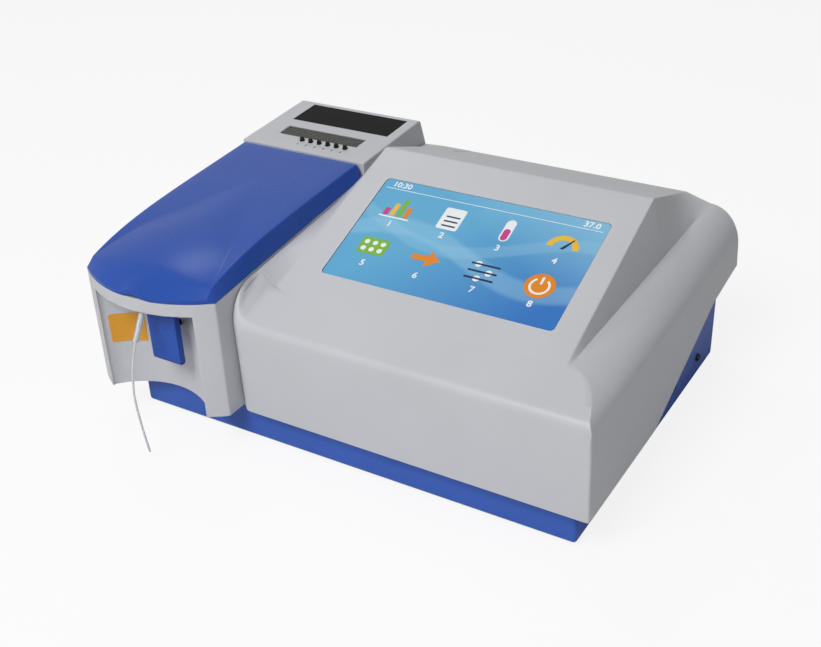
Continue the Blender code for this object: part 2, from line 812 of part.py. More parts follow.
def main_profile(inset, drop, kind):
    """Side profile of the main shell, front bottom first, for one of its lengthwise lines."""
    y_crease = Y_FRONT - FRONT_LEAN + inset
    if kind == "ramp":
        sink = inset * RAMP_SINK_SHARE
        corner = (y_crease, Z_TRAY + RAMP_CORNER_HEIGHT - sink)
        start = (Y_FRONT + RAMP_START_SETBACK, Z_TRAY + RAMP_START_HEIGHT - sink)
        radius = max(RAMP_RADIUS - inset, FIT_GAP)
        ridge = Z_TRAY + RAMP_RIDGE_HEIGHT - inset
        roof = Z_ROOF_END - inset
    else:
        corner = (y_crease, Z_TRAY + CREASE_HEIGHT - inset)
        start = (Y_PANEL, Z_PANEL - inset)
        radius = max(CREASE_RADIUS - inset, FIT_GAP)
        ridge = Z_RIDGE - inset
        roof = Z_ROOF_END - inset
    if kind == "shoulder":
        ridge = Z_TRAY + SHOULDER_RIDGE_HEIGHT - inset
        roof = Z_TRAY + SHOULDER_REAR_HEIGHT - inset
    bottom = (Y_FRONT + inset, Z_SKIRT - drop)
    crease = fillet(bottom, corner, start, radius)
    last = crease[-1]
    brow = [(last[0] + s * (start[0] - last[0]), last[1] + s * (start[1] - last[1])) for s in BROW_SHARES]
    rear = (Y_REAR - inset, Z_TRAY + SKIRT_REAR_HEIGHT - drop)
    edge = fillet((Y_RIDGE, ridge), (Y_ROOF_END - inset, roof), rear, max(ROOF_EDGE_RADIUS - inset, FIT_GAP))
    rise = [(Y_FRONT + SKIRT_RISE_END, Z_TRAY + SKIRT_RISE_HEIGHT - drop),
            (Y_FRONT + SKIRT_RISE_START, Z_SKIRT - drop)]
    return [bottom, *crease, *brow, start, (Y_RIDGE, ridge), *edge, rear, *rise]


def shoulder_radius(y):
    """Width of the shoulder's round edge: it grows in an arc along the brow and then narrows slowly."""
    if y < Y_PANEL:
        share = max(0.0, (y - (Y_FRONT - FRONT_LEAN)) / (PANEL_SETBACK + FRONT_LEAN))
        arc = 1 - math.sqrt(1 - min(1.0, share / BROW_ARC_SHARE) ** 2)
        return FRONT_EDGE_RADIUS + (NOTCH_RADIUS - FRONT_EDGE_RADIUS) * arc
    return along(y, NOTCH_RADIUS, SHOULDER_RIDGE_RADIUS, SHOULDER_REAR_RADIUS)


def shoulder_fall(y):
    """Height of the shoulder's round edge: as wide as it at the front, then growing to the rear."""
    if y < Y_PANEL:
        share = (shoulder_radius(y) - FRONT_EDGE_RADIUS) / (NOTCH_RADIUS - FRONT_EDGE_RADIUS)
        return FRONT_EDGE_RADIUS + (NOTCH_FALL - FRONT_EDGE_RADIUS) * share
    return along(y, NOTCH_FALL, SHOULDER_RIDGE_FALL, SHOULDER_REAR_FALL)


def along(y, front, ridge, roof):
    """A value that changes in straight runs at the panel's foot, the ridge and the roof's end."""
    return float(np.interp(y, (Y_PANEL, Y_RIDGE, Y_ROOF_END), (front, ridge, roof)))


def main_sections(inset, drop):
    """Lengthwise sections of the main shell from the seam to the right side."""
    ramp = main_profile(inset, drop, "ramp")
    panel = main_profile(inset, drop, "panel")
    shoulder = main_profile(inset, drop, "shoulder")
    sections = [[(X_MAIN + inset, y, z) for y, z in ramp]]
    sections.append([(X_MAIN + along(y, LEFT_CREASE_FRONT, LEFT_CREASE_REAR, LEFT_CREASE_REAR) + inset, y, z)
                     for y, z in panel])
    sections.append([(X_RIGHT - along(y, WEDGE_EDGE_FRONT, WEDGE_EDGE_RIDGE, WEDGE_EDGE_ROOF) - inset, y, z)
                     for y, z in panel])
    top = len(shoulder) - 3
    for step in range(SHOULDER_STEPS):
        angle = step / (SHOULDER_STEPS - 1) * math.pi / 2
        section = []
        for index, (y, z) in enumerate(shoulder):
            radius = max(shoulder_radius(y) - inset, FIT_GAP)
            x = X_RIGHT - inset - radius * (1 - math.sin(angle)) - (inset if step == 0 else 0.0)
            height = max(shoulder_fall(y) - inset, FIT_GAP)
            fall = height * (1 - math.cos(angle)) if 0 < index < top else 0.0
            section.append((x, y, z - fall))
        sections.append(section)
    return sections


def post_places(left, right):
    """Plan places of a shell's four screw posts."""
    rows = (TRAY_FRONT + SHELL_POST_SETBACK - TRAY_INSET_FRONT,
            TRAY_FRONT + SHELL_POST_SETBACK + SHELL_POST_PITCH)
    return [(x, y) for x in (left, right) for y in rows]


def main_posts():
    """Posts of the main shell, clear of the seam and of the tray's right wall."""
    left = X_MAIN + SHELL_WALL + SHELL_POST_RADIUS + FIT_GAP
    right = TRAY_RIGHT - TRAY_WALL - SHELL_POST_RADIUS - TRAY_WALL
    return post_places(left, right)


def module_posts():
    """Posts of the module shell, clear of the tray's left wall and of the seam."""
    left = TRAY_LEFT + TRAY_WALL + TRAY_TOWER_RADIUS
    right = X_MODULE - SHELL_WALL - SHELL_POST_RADIUS - FIT_GAP
    return post_places(left, right)


def post_shapes(places, radius, low, high):
    """Upright posts at plan places."""
    return together(*[bar((x, y, low), (x, y, high), radius, 12) for x, y in places])


def printer_x():
    """Middle of the printer cover."""
    return X_RIGHT - COVER_CENTRE


def screen_frame():
    """Frame of the screen: its middle on the panel's face."""
    run = SCREEN_START + SCREEN_LENGTH / 2
    return slope_frame(X_RIGHT - SCREEN_CENTRE, Y_PANEL + run * math.cos(PANEL_TILT),
                       Z_PANEL + run * math.sin(PANEL_TILT), PANEL_TILT)


def cover_outline():
    """Side outline of the printer cover: roof, round edge, rear and a bevelled foot."""
    foot = Z_TRAY + COVER_BOTTOM
    heel = foot + COVER_THICKNESS
    start = Y_RIDGE + COVER_START
    rear_slope = REAR_LEAN / (ROOF_END_HEIGHT - SKIRT_REAR_HEIGHT)
    foot_y = Y_ROOF_END + (Z_ROOF_END - foot) * rear_slope
    heel_y = Y_ROOF_END + (Z_ROOF_END - heel) * rear_slope
    edge = fillet((start, roof_z(start)), (Y_ROOF_END, Z_ROOF_END), (heel_y, heel), ROOF_EDGE_RADIUS)
    depth = COVER_THICKNESS
    return [(start, roof_z(start)), *edge, (heel_y, heel), (foot_y - depth / 2, foot), (foot_y - depth, foot),
            (Y_ROOF_END - depth, Z_ROOF_END - depth), (start, roof_z(start) - depth)]


def make_main_housing():
    """Main grey shell with its screen opening, printer opening and posts."""
    shell = piece("upper_housing", loft(main_sections(0.0, 0.0)), grey_plastic())
    cavity = tool("upper_cavity", loft(main_sections(SHELL_WALL, OVERRUN)))
    cut(cavity, post_shapes(main_posts(), SHELL_POST_RADIUS, Z_TRAY, Z_RIDGE), "posts")
    cut(shell, cavity, "cavity")
    outline = rounded_rectangle(SCREEN_WIDTH + 2 * FIT_GAP, SCREEN_LENGTH + 2 * FIT_GAP, SCREEN_CORNER)
    cut(shell, moved(prism(outline, "Z", -OVERRUN, OVERRUN), screen_frame()), "screen")
    low, high = printer_x() - COVER_WIDTH / 2 - COVER_GAP, printer_x() + COVER_WIDTH / 2 + COVER_GAP
    start = Y_RIDGE + COVER_START - COVER_GAP
    foot = Z_TRAY + COVER_BOTTOM - COVER_FOOT_GAP
    cut(shell, block((low, start, foot), (high, Y_REAR + OVERRUN, Z_RIDGE)), "printer")
    return shell


def make_screen():
    """Touch glass flush in the panel, and the display module behind it."""
    frame = screen_frame()
    outline = rounded_rectangle(SCREEN_WIDTH, SCREEN_LENGTH, SCREEN_CORNER)
    glass = moved(prism(outline, "Z", -SHELL_WALL, -GLASS_RECESS), frame)
    piece("touch_glass", glass, screen_glass())
    top = -SHELL_WALL - FIT_GAP
    low = (-SCREEN_WIDTH / 2 - LCD_MARGIN, -SCREEN_LENGTH / 2 - LCD_MARGIN, top - LCD_THICKNESS)
    high = (SCREEN_WIDTH / 2 + LCD_MARGIN, SCREEN_LENGTH / 2 + LCD_MARGIN, top)
    module = piece("lcd_module", moved(block(low, high), frame), black_metal())
    ribs = [block((s * SCREEN_WIDTH / 4 - LCD_MARGIN, -SCREEN_LENGTH / 2,
                   top - LCD_THICKNESS - LCD_MARGIN / 2),
                  (s * SCREEN_WIDTH / 4 + LCD_MARGIN, SCREEN_LENGTH / 2, top - LCD_THICKNESS / 2))
            for s in (-1, 1)]
    join(module, moved(together(*ribs), frame), "ribs")


def nose_outline(inset, y_rear):
    """Plan outline of the module: a bowed front and straight sides."""
    half = MODULE_WIDTH / 2 - inset
    offsets = [half * math.sin(math.pi / 2 * (2 * i / NOSE_STEPS - 1)) for i in range(NOSE_STEPS + 1)]
    return [(X_CENTRE + d, nose_y(d, inset))
            for d in offsets] + [(X_CENTRE + half, y_rear), (X_CENTRE - half, y_rear)]


def module_outline(inset, drop):
    """Side outline of the module housing: deck, bezel and rear."""
    deck_front = lid_low(Y_NOSE) - LID_REST_GAP - inset
    deck_rear = lid_low(Y_LID_REAR) - LID_REST_GAP - inset
    bend = Y_NOSE + NOSE_SAGITTA
    rear_top = Y_ROOF_END - BEZEL_REAR_LEAN - inset
    corner = (rear_top, bezel_z(rear_top) - inset)
    foot = (Y_ROOF_END - inset, Z_ROOF_END - inset)
    edge = fillet((Y_BEZEL, Z_BEZEL - inset), corner, foot, max(BEZEL_EDGE_RADIUS - inset, FIT_GAP))
    return [(Y_NOSE - OVERRUN, Z_SKIRT - drop), (Y_NOSE - OVERRUN, deck_front), (bend, deck_front),
            (Y_BEZEL + inset, deck_rear), (Y_BEZEL + inset, Z_BEZEL - inset), *edge, foot,
            (Y_REAR - inset, Z_TRAY + SKIRT_REAR_HEIGHT - drop),
            (Y_FRONT + SKIRT_RISE_END, Z_TRAY + SKIRT_RISE_HEIGHT - drop),
            (Y_FRONT + SKIRT_RISE_START, Z_SKIRT - drop)]


def pocket_outline(front, inner):
    """Plan outline of the pocket, open to the front or closed by the lip."""
    half = POCKET_HALF_WIDTH - (LIP_THICKNESS if inner else 0.0)
    offsets = [half * (1 - 2 * i / POCKET_STEPS) for i in range(POCKET_STEPS + 1)]
    rear = [(X_CENTRE + d, pocket_y(d)) for d in offsets]
    if inner:
        return rear + [(X_CENTRE + d, nose_y(d, LIP_THICKNESS)) for d in reversed(offsets)]
    return rear + [(X_CENTRE - half, front), (X_CENTRE + half, front)]


def cavity_outline(y_rear):
    """Plan outline of the module's hollow: behind the pocket's wall and the two pillars."""
    half = MODULE_WIDTH / 2 - SHELL_WALL
    pillar = Y_NOSE + PILLAR_DEPTH
    offsets = [POCKET_HALF_WIDTH * (1 - 2 * i / POCKET_STEPS) for i in range(POCKET_STEPS + 1)]
    front = [(X_CENTRE + d, max(pillar, pocket_y(d, POCKET_WALL))) for d in offsets]
    return [(X_CENTRE + half, y_rear), (X_CENTRE + half, pillar), *front, (X_CENTRE - half, pillar),
            (X_CENTRE - half, y_rear)]


def trigger_place():
    """Left end, middle plane and height of the trigger's pivot."""
    x = X_CENTRE + TRIGGER_OFFSET - TRIGGER_WIDTH / 2
    return Vector((x, Y_NOSE + TRIGGER_SETBACK + TRIGGER_THICKNESS / 2, Z_TRAY + TRIGGER_PIVOT_HEIGHT))


def bezel_frame(start, offset):
    """Frame on the bezel's face at a distance behind its front edge."""
    y = Y_BEZEL + start * math.cos(BEZEL_TILT)
    return slope_frame(X_CENTRE + offset, y, bezel_z(y), BEZEL_TILT)


def key_places():
    """Offsets of the six keys from the module's middle."""
    first = KEY_OFFSET - KEY_PITCH * (KEY_COUNT - 1) / 2
    return [first + KEY_PITCH * i for i in range(KEY_COUNT)]


def lid_hinge():
    """A point on the lid's hinge axis, at the module's middle."""
    y = Y_LID_REAR - LID_HINGE_INSET
    return Vector((X_CENTRE, y, bezel_z(y) - LID_HINGE_DROP))


def lug_spans():
    """Ends of the two hinge lugs and of the lid knuckles beside them, as offsets from the middle."""
    outer = MODULE_WIDTH / 2 - LID_LUG_INSET
    lug = (outer - LID_LUG_LENGTH, outer)
    knuckle = (lug[0] - FIT_GAP - LID_KNUCKLE_LENGTH, lug[0] - FIT_GAP)
    return lug, knuckle


def flow_block_box(margin):
    """Plan corners of the flow cell block, with a margin."""
    y = Y_NOSE + BLOCK_SETBACK
    return (X_AXIS - BLOCK_WIDTH / 2 - margin, y - margin), (X_AXIS + BLOCK_WIDTH / 2 + margin,
                                                             y + BLOCK_LENGTH + margin)


def display_posts():
    """Four short posts under the bezel that the display board is screwed to."""
    side = MODULE_WIDTH / 2 - DISPLAY_POST_INSET
    top = -DISPLAY_BOARD_DROP + FIT_GAP
    return together(*[moved(bar((0, 0, top), (0, 0, OVERRUN), DISPLAY_POST_RADIUS, 12), bezel_frame(start, x))
                      for x in (-side, side) for start in DISPLAY_POST_STARTS])


def make_module_housing():
    """Left housing: bowed nose with a hand pocket, lid deck with the cell opening, and the rear bezel."""
    shell = piece("module_housing",
                  prism(module_outline(0.0, 0.0), "X", X_LEFT - OVERRUN, X_MODULE + OVERRUN),
                  grey_plastic())
    trim(shell, prism(nose_outline(0.0, Y_REAR + OVERRUN), "Z", 0, Z_RIDGE), "plan")
    cavity = tool("module_cavity", prism(module_outline(DECK_THICKNESS, OVERRUN), "X", X_LEFT, X_MODULE))
    trim(cavity, prism(cavity_outline(Y_REAR), "Z", 0, Z_RIDGE), "plan")
    cut(cavity, together(post_shapes(module_posts(), SHELL_POST_RADIUS, Z_TRAY, Z_RIDGE), display_posts()),
        "posts")
    cut(shell, cavity, "cavity")
    front = Y_NOSE - 2 * OVERRUN
    cut(shell, prism(pocket_outline(front, False), "Z", Z_SKIRT - OVERRUN, Z_POCKET), "pocket")
    ceiling = lid_low(Y_NOSE) - LID_REST_GAP - DECK_THICKNESS
    cut(shell, prism(pocket_outline(front, True), "Z", Z_POCKET - LIP_THICKNESS, ceiling), "pocket_top")
    add_trigger_lugs(shell, ceiling)
    add_switch_pad(shell)
    add_lid_lugs(shell)
    (x_low, y_low), (x_high, y_high) = flow_block_box(SEAM_GAP)
    cut(shell, block((x_low, y_low, Z_BENCH), (x_high, y_high, Z_RIDGE)), "cell_opening")
    openings = [moved(prism(rounded_rectangle(WINDOW_WIDTH, WINDOW_LENGTH, FIT_GAP), "Z", -OVERRUN, OVERRUN),
                      bezel_frame(WINDOW_START + WINDOW_LENGTH / 2, WINDOW_OFFSET)),
                moved(prism(rounded_rectangle(STRIP_WIDTH + 2 * FIT_GAP, STRIP_LENGTH + 2 * FIT_GAP, FIT_GAP),
                            "Z",
                            -OVERRUN, OVERRUN), bezel_frame(STRIP_START + STRIP_LENGTH / 2, STRIP_OFFSET))]
    radius = KEY_RADIUS + KEY_CLEARANCE
    openings += [moved(bar((0, 0, -OVERRUN), (0, 0, OVERRUN), radius, 12), bezel_frame(KEY_START, offset))
                 for offset in key_places()]
    cut(shell, together(*openings), "bezel_openings")
    return shell


def add_trigger_lugs(shell, ceiling):
    """Two lugs under the pocket's ceiling that hold the trigger's pin."""
    place = trigger_place()
    low = Z_TRAY + TRIGGER_LUG_BOTTOM
    reach = TRIGGER_KNUCKLE_RADIUS + TRIGGER_LUG_THICKNESS / 2
    lugs = []
    for x in (place.x - FIT_GAP - TRIGGER_LUG_THICKNESS, place.x + TRIGGER_WIDTH + FIT_GAP):
        offset = x + TRIGGER_LUG_THICKNESS / 2 - X_CENTRE
        rear = pocket_y(offset) + POCKET_WALL / 2
        lugs.append(block((x, place.y - reach, low),
                          (x + TRIGGER_LUG_THICKNESS, rear, ceiling + DECK_THICKNESS / 2)))
    join(shell, together(*lugs), "trigger_lugs")
    reach = TRIGGER_LUG_THICKNESS + FIT_GAP + OVERRUN
    cut(shell, bar((place.x - reach, place.y, place.z), (place.x + TRIGGER_WIDTH + reach, place.y, place.z),
                   TRIGGER_PIN_RADIUS + FIT_GAP, 12), "trigger_bore")


def switch_place():
    """Where the push rod's axis meets the front of the switch's pad."""
    place = trigger_place()
    x = place.x + TRIGGER_WIDTH / 2
    return Vector((x, pocket_y(x - X_CENTRE) + SWITCH_PAD_DEPTH, place.z - ROD_DROP))


def add_switch_pad(shell):
    """Flat pad behind the pocket's wall that seats the trigger's switch, with the rod's hole."""
    place = switch_place()
    half, tall = SWITCH_WIDTH / 2 + TRAY_WALL, SWITCH_HEIGHT / 2 + TRAY_WALL
    join(shell, block((place.x - half, place.y - SWITCH_PAD_DEPTH + POCKET_WALL / 4, place.z - tall),
                      (place.x + half, place.y, place.z + tall)), "switch_pad")
    cut(shell,
        bar((place.x, place.y - SWITCH_PAD_DEPTH - OVERRUN, place.z), (place.x, place.y + OVERRUN, place.z),
                   ROD_RADIUS + FIT_GAP, 16), "rod_hole")


def add_lid_lugs(shell):
    """Hinge trough behind the deck and two lugs that carry the lid's pin."""
    hinge = lid_hinge()
    deck = lid_low(Y_LID_REAR) - LID_REST_GAP
    cut(shell, block((X_LEFT - OVERRUN, Y_BEZEL - HINGE_TROUGH_WIDTH, deck - HINGE_TROUGH_DEPTH),
                     (X_MODULE + OVERRUN, Y_BEZEL, deck + OVERRUN)), "hinge_trough")
    lug, knuckle = lug_spans()
    lugs = []
    for side in (-1, 1):
        low, high = sorted((side * lug[0], side * lug[1]))
        lugs.append(block((hinge.x + low, hinge.y - LID_LUG_DEPTH,
                           deck - HINGE_TROUGH_DEPTH - DECK_THICKNESS / 2),
                          (hinge.x + high, hinge.y - LID_PIN_RADIUS / 2, hinge.z)))
    join(shell, together(*lugs), "lid_lugs")
    barrels = [bar((hinge.x + side * lug[0], hinge.y, hinge.z), (hinge.x + side * lug[1], hinge.y, hinge.z),
                   LID_KNUCKLE_RADIUS, 14) for side in (-1, 1)]
    join(shell, together(*barrels), "lid_barrels")
    cut(shell,
        bar((X_LEFT + LID_LUG_INSET / 2, hinge.y, hinge.z), (X_MODULE - LID_LUG_INSET / 2, hinge.y, hinge.z),
                   LID_PIN_RADIUS + FIT_GAP, 12), "lid_bore")


def lid_rows():
    """Rows of the lid's skin, rear first: y and z of its top edge, y of its lower edge, whether domed."""
    rows = []
    radius = LID_EDGE_RADIUS
    for step in range(3):
        angle = step * math.pi / 4
        y = Y_LID_REAR - radius * (1 - math.cos(angle))
        rows.append((y, bezel_z(Y_LID_REAR) - radius * (1 - math.sin(angle)), Y_LID_REAR - LID_HEEL, False))
    y_bend = Y_NOSE + LID_BEND_SETBACK
    y_crease = Y_NOSE + LID_CREASE_SETBACK
    z_crease = Z_TRAY + LID_CREASE_HEIGHT
    for share in LID_TOP_SHARES:
        y = Y_LID_REAR - radius + share * (y_bend - Y_LID_REAR + radius)
        rows.append((y, bezel_z(y), y, True))
    for share in LID_SLOPE_SHARES:
        y = y_bend + share * (y_crease - y_bend)
        rows.append((y, bezel_z(y_bend) + share * (z_crease - bezel_z(y_bend)), y, True))
    return rows


def dome(x, y):
    """Height of the lid's low dome above its flat top: a paraboloid over a half ellipse."""
    along_y = max(0.0, y - (Y_NOSE + DOME_CENTRE_SETBACK)) / DOME_LENGTH
    across = (x - X_CENTRE) / DOME_HALF_WIDTH
    return DOME_HEIGHT * max(0.0, 1.0 - across ** 2 - along_y ** 2)


def lid_grid():
    """Grid of points of the lid's outer skin, rear row first, each from left to right."""
    half = MODULE_WIDTH / 2 - LID_SIDE_LEAN
    shares = [2 * i / LID_COLUMNS - 1 for i in range(LID_COLUMNS + 1)]
    grid = []
    for y, z, y_low, domed in lid_rows():
        edge = lid_low(y_low) - FIT_GAP
        row = [(X_LEFT, y_low, edge)]
        row += [(X_CENTRE + s * half, y, z + (dome(X_CENTRE + s * half, y) if domed else 0.0))
                for s in shares]
        row.append((X_MODULE, y_low, edge))
        grid.append(row)
    y_crease = grid[-1][0][1]
    y_end = Y_NOSE + NOSE_SAGITTA
    last = grid[-1][1:-1]
    low_z = lid_low(Y_NOSE) - FIT_GAP
    for share, z_edge in ((LID_VISOR_SHARE, None), (1, None), (1, low_z)):
        y_low = y_crease + (y_end - y_crease) * share
        row = [(X_LEFT, y_low, low_z)]
        for s, point in zip(shares, last):
            front = nose_y(s * half)
            z = point[2] + share * (low_z + LID_LIP - point[2]) if z_edge is None else z_edge
            row.append((point[0], point[1] + share * (front - point[1]), z))
        row.append((X_MODULE, y_low, low_z))
        grid.append(row)
    return grid


def make_lid():
    """Blue lid: a solidified skin with two hinge knuckles and a thumb notch."""
    shape = bmesh.new()
    rows = [[shape.verts.new(point) for point in row] for row in lid_grid()]
    for row, following in zip(rows, rows[1:]):
        for i in range(len(row) - 1):
            shape.faces.new((row[i], following[i], following[i + 1], row[i + 1]))
    bmesh.ops.remove_doubles(shape, verts=shape.verts, dist=FIT_GAP / 10)
    hinge = lid_hinge()
    lid = piece("sample_lid", shape, blue_plastic(), hinge)
    solidify = lid.modifiers.new("skin", "SOLIDIFY")
    solidify.thickness = LID_SKIN
    solidify.offset = -1.0
    solidify.use_even_offset = True
    low, bend, end = lid_low(Y_NOSE), Y_NOSE + NOSE_SAGITTA, Y_LID_REAR + OVERRUN
    rim = [(Y_NOSE - OVERRUN, low - OVERRUN), (end, low - OVERRUN), (end, lid_low(end)), (bend, low),
           (Y_NOSE - OVERRUN, low)]
    cut(lid, prism(rim, "X", X_LEFT - OVERRUN, X_MODULE + OVERRUN), "rim")
    top = hinge.z + LID_HINGE_DROP - LID_SKIN / 2
    lug, knuckle = lug_spans()
    webs, barrels = [], []
    for side in (-1, 1):
        low, high = sorted((side * knuckle[0], side * knuckle[1]))
        webs.append(block((hinge.x + low, hinge.y - LID_KNUCKLE_RADIUS, hinge.z),
                          (hinge.x + high, hinge.y, top)))
        barrels.append(bar((hinge.x + low, hinge.y, hinge.z), (hinge.x + high, hinge.y, hinge.z),
                           LID_KNUCKLE_RADIUS, 14))
    join(lid, together(*webs), "knuckle_webs")
    join(lid, together(*barrels), "knuckles")
    cut(lid, bar((X_LEFT + LID_LUG_INSET, hinge.y, hinge.z), (X_MODULE - LID_LUG_INSET, hinge.y, hinge.z),
                 LID_PIN_RADIUS + FIT_GAP, 12), "bore")
    notch = lid_low(Y_NOSE) + THUMB_NOTCH_HEIGHT - THUMB_NOTCH_RADIUS
    cut(lid, bar((X_CENTRE + TRIGGER_LUG_THICKNESS, Y_NOSE - OVERRUN, notch),
                 (X_CENTRE + TRIGGER_LUG_THICKNESS, Y_NOSE + 2 * OVERRUN, notch), THUMB_NOTCH_RADIUS, 48),
        "thumb_notch")
    half = lug[1] + LID_LUG_INSET / 4
    piece("lid_hinge_pin", bar((hinge.x - half, hinge.y, hinge.z), (hinge.x + half, hinge.y, hinge.z),
                               LID_PIN_RADIUS, 12), steel())


def make_bezel_fittings():
    """Window, perforated strip, six keys, and the display board on posts under them."""
    lap = 2 * WINDOW_LAP
    top = -DECK_THICKNESS - FIT_GAP
    window = prism(rounded_rectangle(WINDOW_WIDTH + lap, WINDOW_LENGTH + lap, FIT_GAP), "Z",
                   top - WINDOW_THICKNESS, top)
    piece("status_window", moved(window, bezel_frame(WINDOW_START + WINDOW_LENGTH / 2, WINDOW_OFFSET)),
          smoked_glass())
    frame = bezel_frame(STRIP_START + STRIP_LENGTH / 2, STRIP_OFFSET)
    strip = piece("vent_strip", moved(block((-STRIP_WIDTH / 2, -STRIP_LENGTH / 2, -DECK_THICKNESS),
                                            (STRIP_WIDTH / 2, STRIP_LENGTH / 2, -STRIP_RECESS)), frame),
                  black_plastic())
    holes = []
    for column in range(STRIP_HOLE_COLUMNS):
        for row in range(STRIP_HOLE_ROWS):
            x = ((column + 0.5) / STRIP_HOLE_COLUMNS - 0.5) * STRIP_WIDTH
            y = ((row + 0.5) / STRIP_HOLE_ROWS - 0.5) * STRIP_LENGTH
            half = STRIP_HOLE / 2
            holes.append(block((x - half, y - half, -OVERRUN), (x + half, y + half, OVERRUN)))
    cut(strip, moved(together(*holes), frame), "perforations")
    for index, offset in enumerate(key_places()):
        flange = -DECK_THICKNESS - FIT_GAP
        frame = bezel_frame(KEY_START, offset)
        profile = [(0, KEY_PROUD), (KEY_RADIUS * KEY_TOP_SHARE, KEY_PROUD),
                   (KEY_RADIUS, KEY_PROUD * KEY_EDGE_SHARE), (KEY_RADIUS, flange),
                   (KEY_FLANGE_RADIUS, flange), (KEY_FLANGE_RADIUS, flange - KEY_FLANGE_THICKNESS),
                   (0, flange - KEY_FLANGE_THICKNESS)]
        turned("key_%d" % (index + 1), profile, black_plastic(), frame.translation,
               frame.to_3x3() @ Vector((0, 0, 1)), 12)
    make_display_board()


def make_display_board():
    """Board under the bezel with a digit block and six tact switches, screwed to four posts."""
    frame = bezel_frame(0.0, 0.0)
    half = MODULE_WIDTH / 2 - SHELL_WALL - FIT_GAP
    rear = WINDOW_START + WINDOW_LENGTH + WINDOW_LAP + DISPLAY_BOARD_MARGIN
    front = SHELL_WALL + DISPLAY_BOARD_MARGIN
    top = -DISPLAY_BOARD_DROP
    board = piece("display_board",
                  moved(block((-half, front, top - BOARD_THICKNESS), (half, rear, top)), frame),
                  board_green())
    digits_low = (WINDOW_OFFSET - WINDOW_WIDTH / 2 + DIGIT_BLOCK_MARGIN, WINDOW_START + DIGIT_BLOCK_MARGIN,
                  top - BOARD_THICKNESS / 2)
    digits_high = (WINDOW_OFFSET + WINDOW_WIDTH / 2 - DIGIT_BLOCK_MARGIN,
                   WINDOW_START + WINDOW_LENGTH - DIGIT_BLOCK_MARGIN,
                   -DECK_THICKNESS - WINDOW_THICKNESS - 2 * FIT_GAP)
    reach = -DECK_THICKNESS - FIT_GAP - KEY_FLANGE_THICKNESS - KEY_TRAVEL - FIT_GAP
    tacts = [bar((offset, KEY_START, top - BOARD_THICKNESS / 2), (offset, KEY_START, reach), TACT_RADIUS, 10)
             for offset in key_places()]
    join(board, moved(together(block(digits_low, digits_high), *tacts), frame), "parts")


def make_trigger():
    """Blue trigger paddle on its pin, the push rod and the switch behind the pocket."""
    place = trigger_place()
    low = Z_TRAY + TRIGGER_BOTTOM
    half = TRIGGER_THICKNESS / 2
    edge = TRIGGER_EDGE
    outline = [(place.y - half + edge, low), (place.y + half - edge, low), (place.y + half, low + edge),
               (place.y + half, place.z), (place.y - half, place.z), (place.y - half, low + edge)]
    paddle = piece("trigger_paddle", prism(outline, "X", place.x, place.x + TRIGGER_WIDTH), blue_plastic(),
                   place)
    end = place + Vector((TRIGGER_WIDTH, 0, 0))
    join(paddle, bar(place, end, TRIGGER_KNUCKLE_RADIUS, 20), "knuckle")
    over = Vector((OVERRUN, 0, 0))
    cut(paddle, bar(place - over, end + over, TRIGGER_PIN_RADIUS + FIT_GAP, 12), "bore")
    reach = Vector((FIT_GAP + TRIGGER_LUG_THICKNESS, 0, 0))
    piece("trigger_pin", bar(place - reach, end + reach, TRIGGER_PIN_RADIUS, 12), steel())
    seat = switch_place()
    tip = Vector((seat.x, place.y + half + FIT_GAP, seat.z))
    rod = piece("trigger_rod", bar(tip, tip + Vector((0, ROD_REACH, 0)), ROD_RADIUS, 16), black_plastic(),
                tip)
    front = seat.y + FIT_GAP
    half_x, half_z = SWITCH_WIDTH / 2, SWITCH_HEIGHT / 2
    switch = piece("microswitch", block((seat.x - half_x, front, seat.z - half_z),
                                        (seat.x + half_x, front + SWITCH_LENGTH, seat.z + half_z)),
                   black_plastic())
    bottom = tip.y + ROD_REACH + ROD_TRAVEL + 2 * FIT_GAP
    cut(switch, bar((seat.x, front - OVERRUN, seat.z), (seat.x, bottom, seat.z), ROD_RADIUS + FIT_GAP, 16),
        "plunger")
    return rod


def nozzle_points():
    """Top and lower end of the clear sleeve's axis."""
    x = X_CENTRE + NOZZLE_OFFSET
    top = Vector((x, nose_y(NOZZLE_OFFSET, LIP_THICKNESS) + NOZZLE_SETBACK, Z_POCKET))
    end = top + Vector((SLEEVE_DRIFT, -SLEEVE_RUN, -SLEEVE_FALL))
    return top, end


def make_nozzle():
    """Nozzle block under the pocket's ceiling, the clear sleeve and the free tube."""
    top, end = nozzle_points()
    run = (end - top).normalized()
    ceiling = lid_low(Y_NOSE) - LID_REST_GAP - DECK_THICKNESS - FIT_GAP
    front = nose_y(NOZZLE_OFFSET + NOZZLE_WIDTH / 2, LIP_THICKNESS) + FIT_GAP
    half = NOZZLE_WIDTH / 2
    holder = piece("nozzle_holder", block((top.x - half, front, ceiling - NOZZLE_HEIGHT),
                                          (top.x + half, front + NOZZLE_LENGTH, ceiling)), black_plastic())
    clear = SLEEVE_RADIUS + FIT_GAP
    cut(holder, bar(top - run * SLEEVE_RADIUS, top + run * SLEEVE_RUN, clear, 16), "sleeve_seat")
    start = top - run * (SLEEVE_RADIUS - FIT_GAP)
    sleeve = piece("clear_sleeve", bar(start, end, SLEEVE_RADIUS, 16), clear_glass())
    cut(sleeve, bar(start - run * OVERRUN, end + run * OVERRUN, SLEEVE_BORE, 10), "bore")
    exit_point = end + run * FIT_GAP
    tube_curve("sipper_tube", smooth_route([exit_point + Vector(step) for step in TUBE_ROUTE], TUBE_POINTS),
               TUBE_RADIUS, clear_glass())


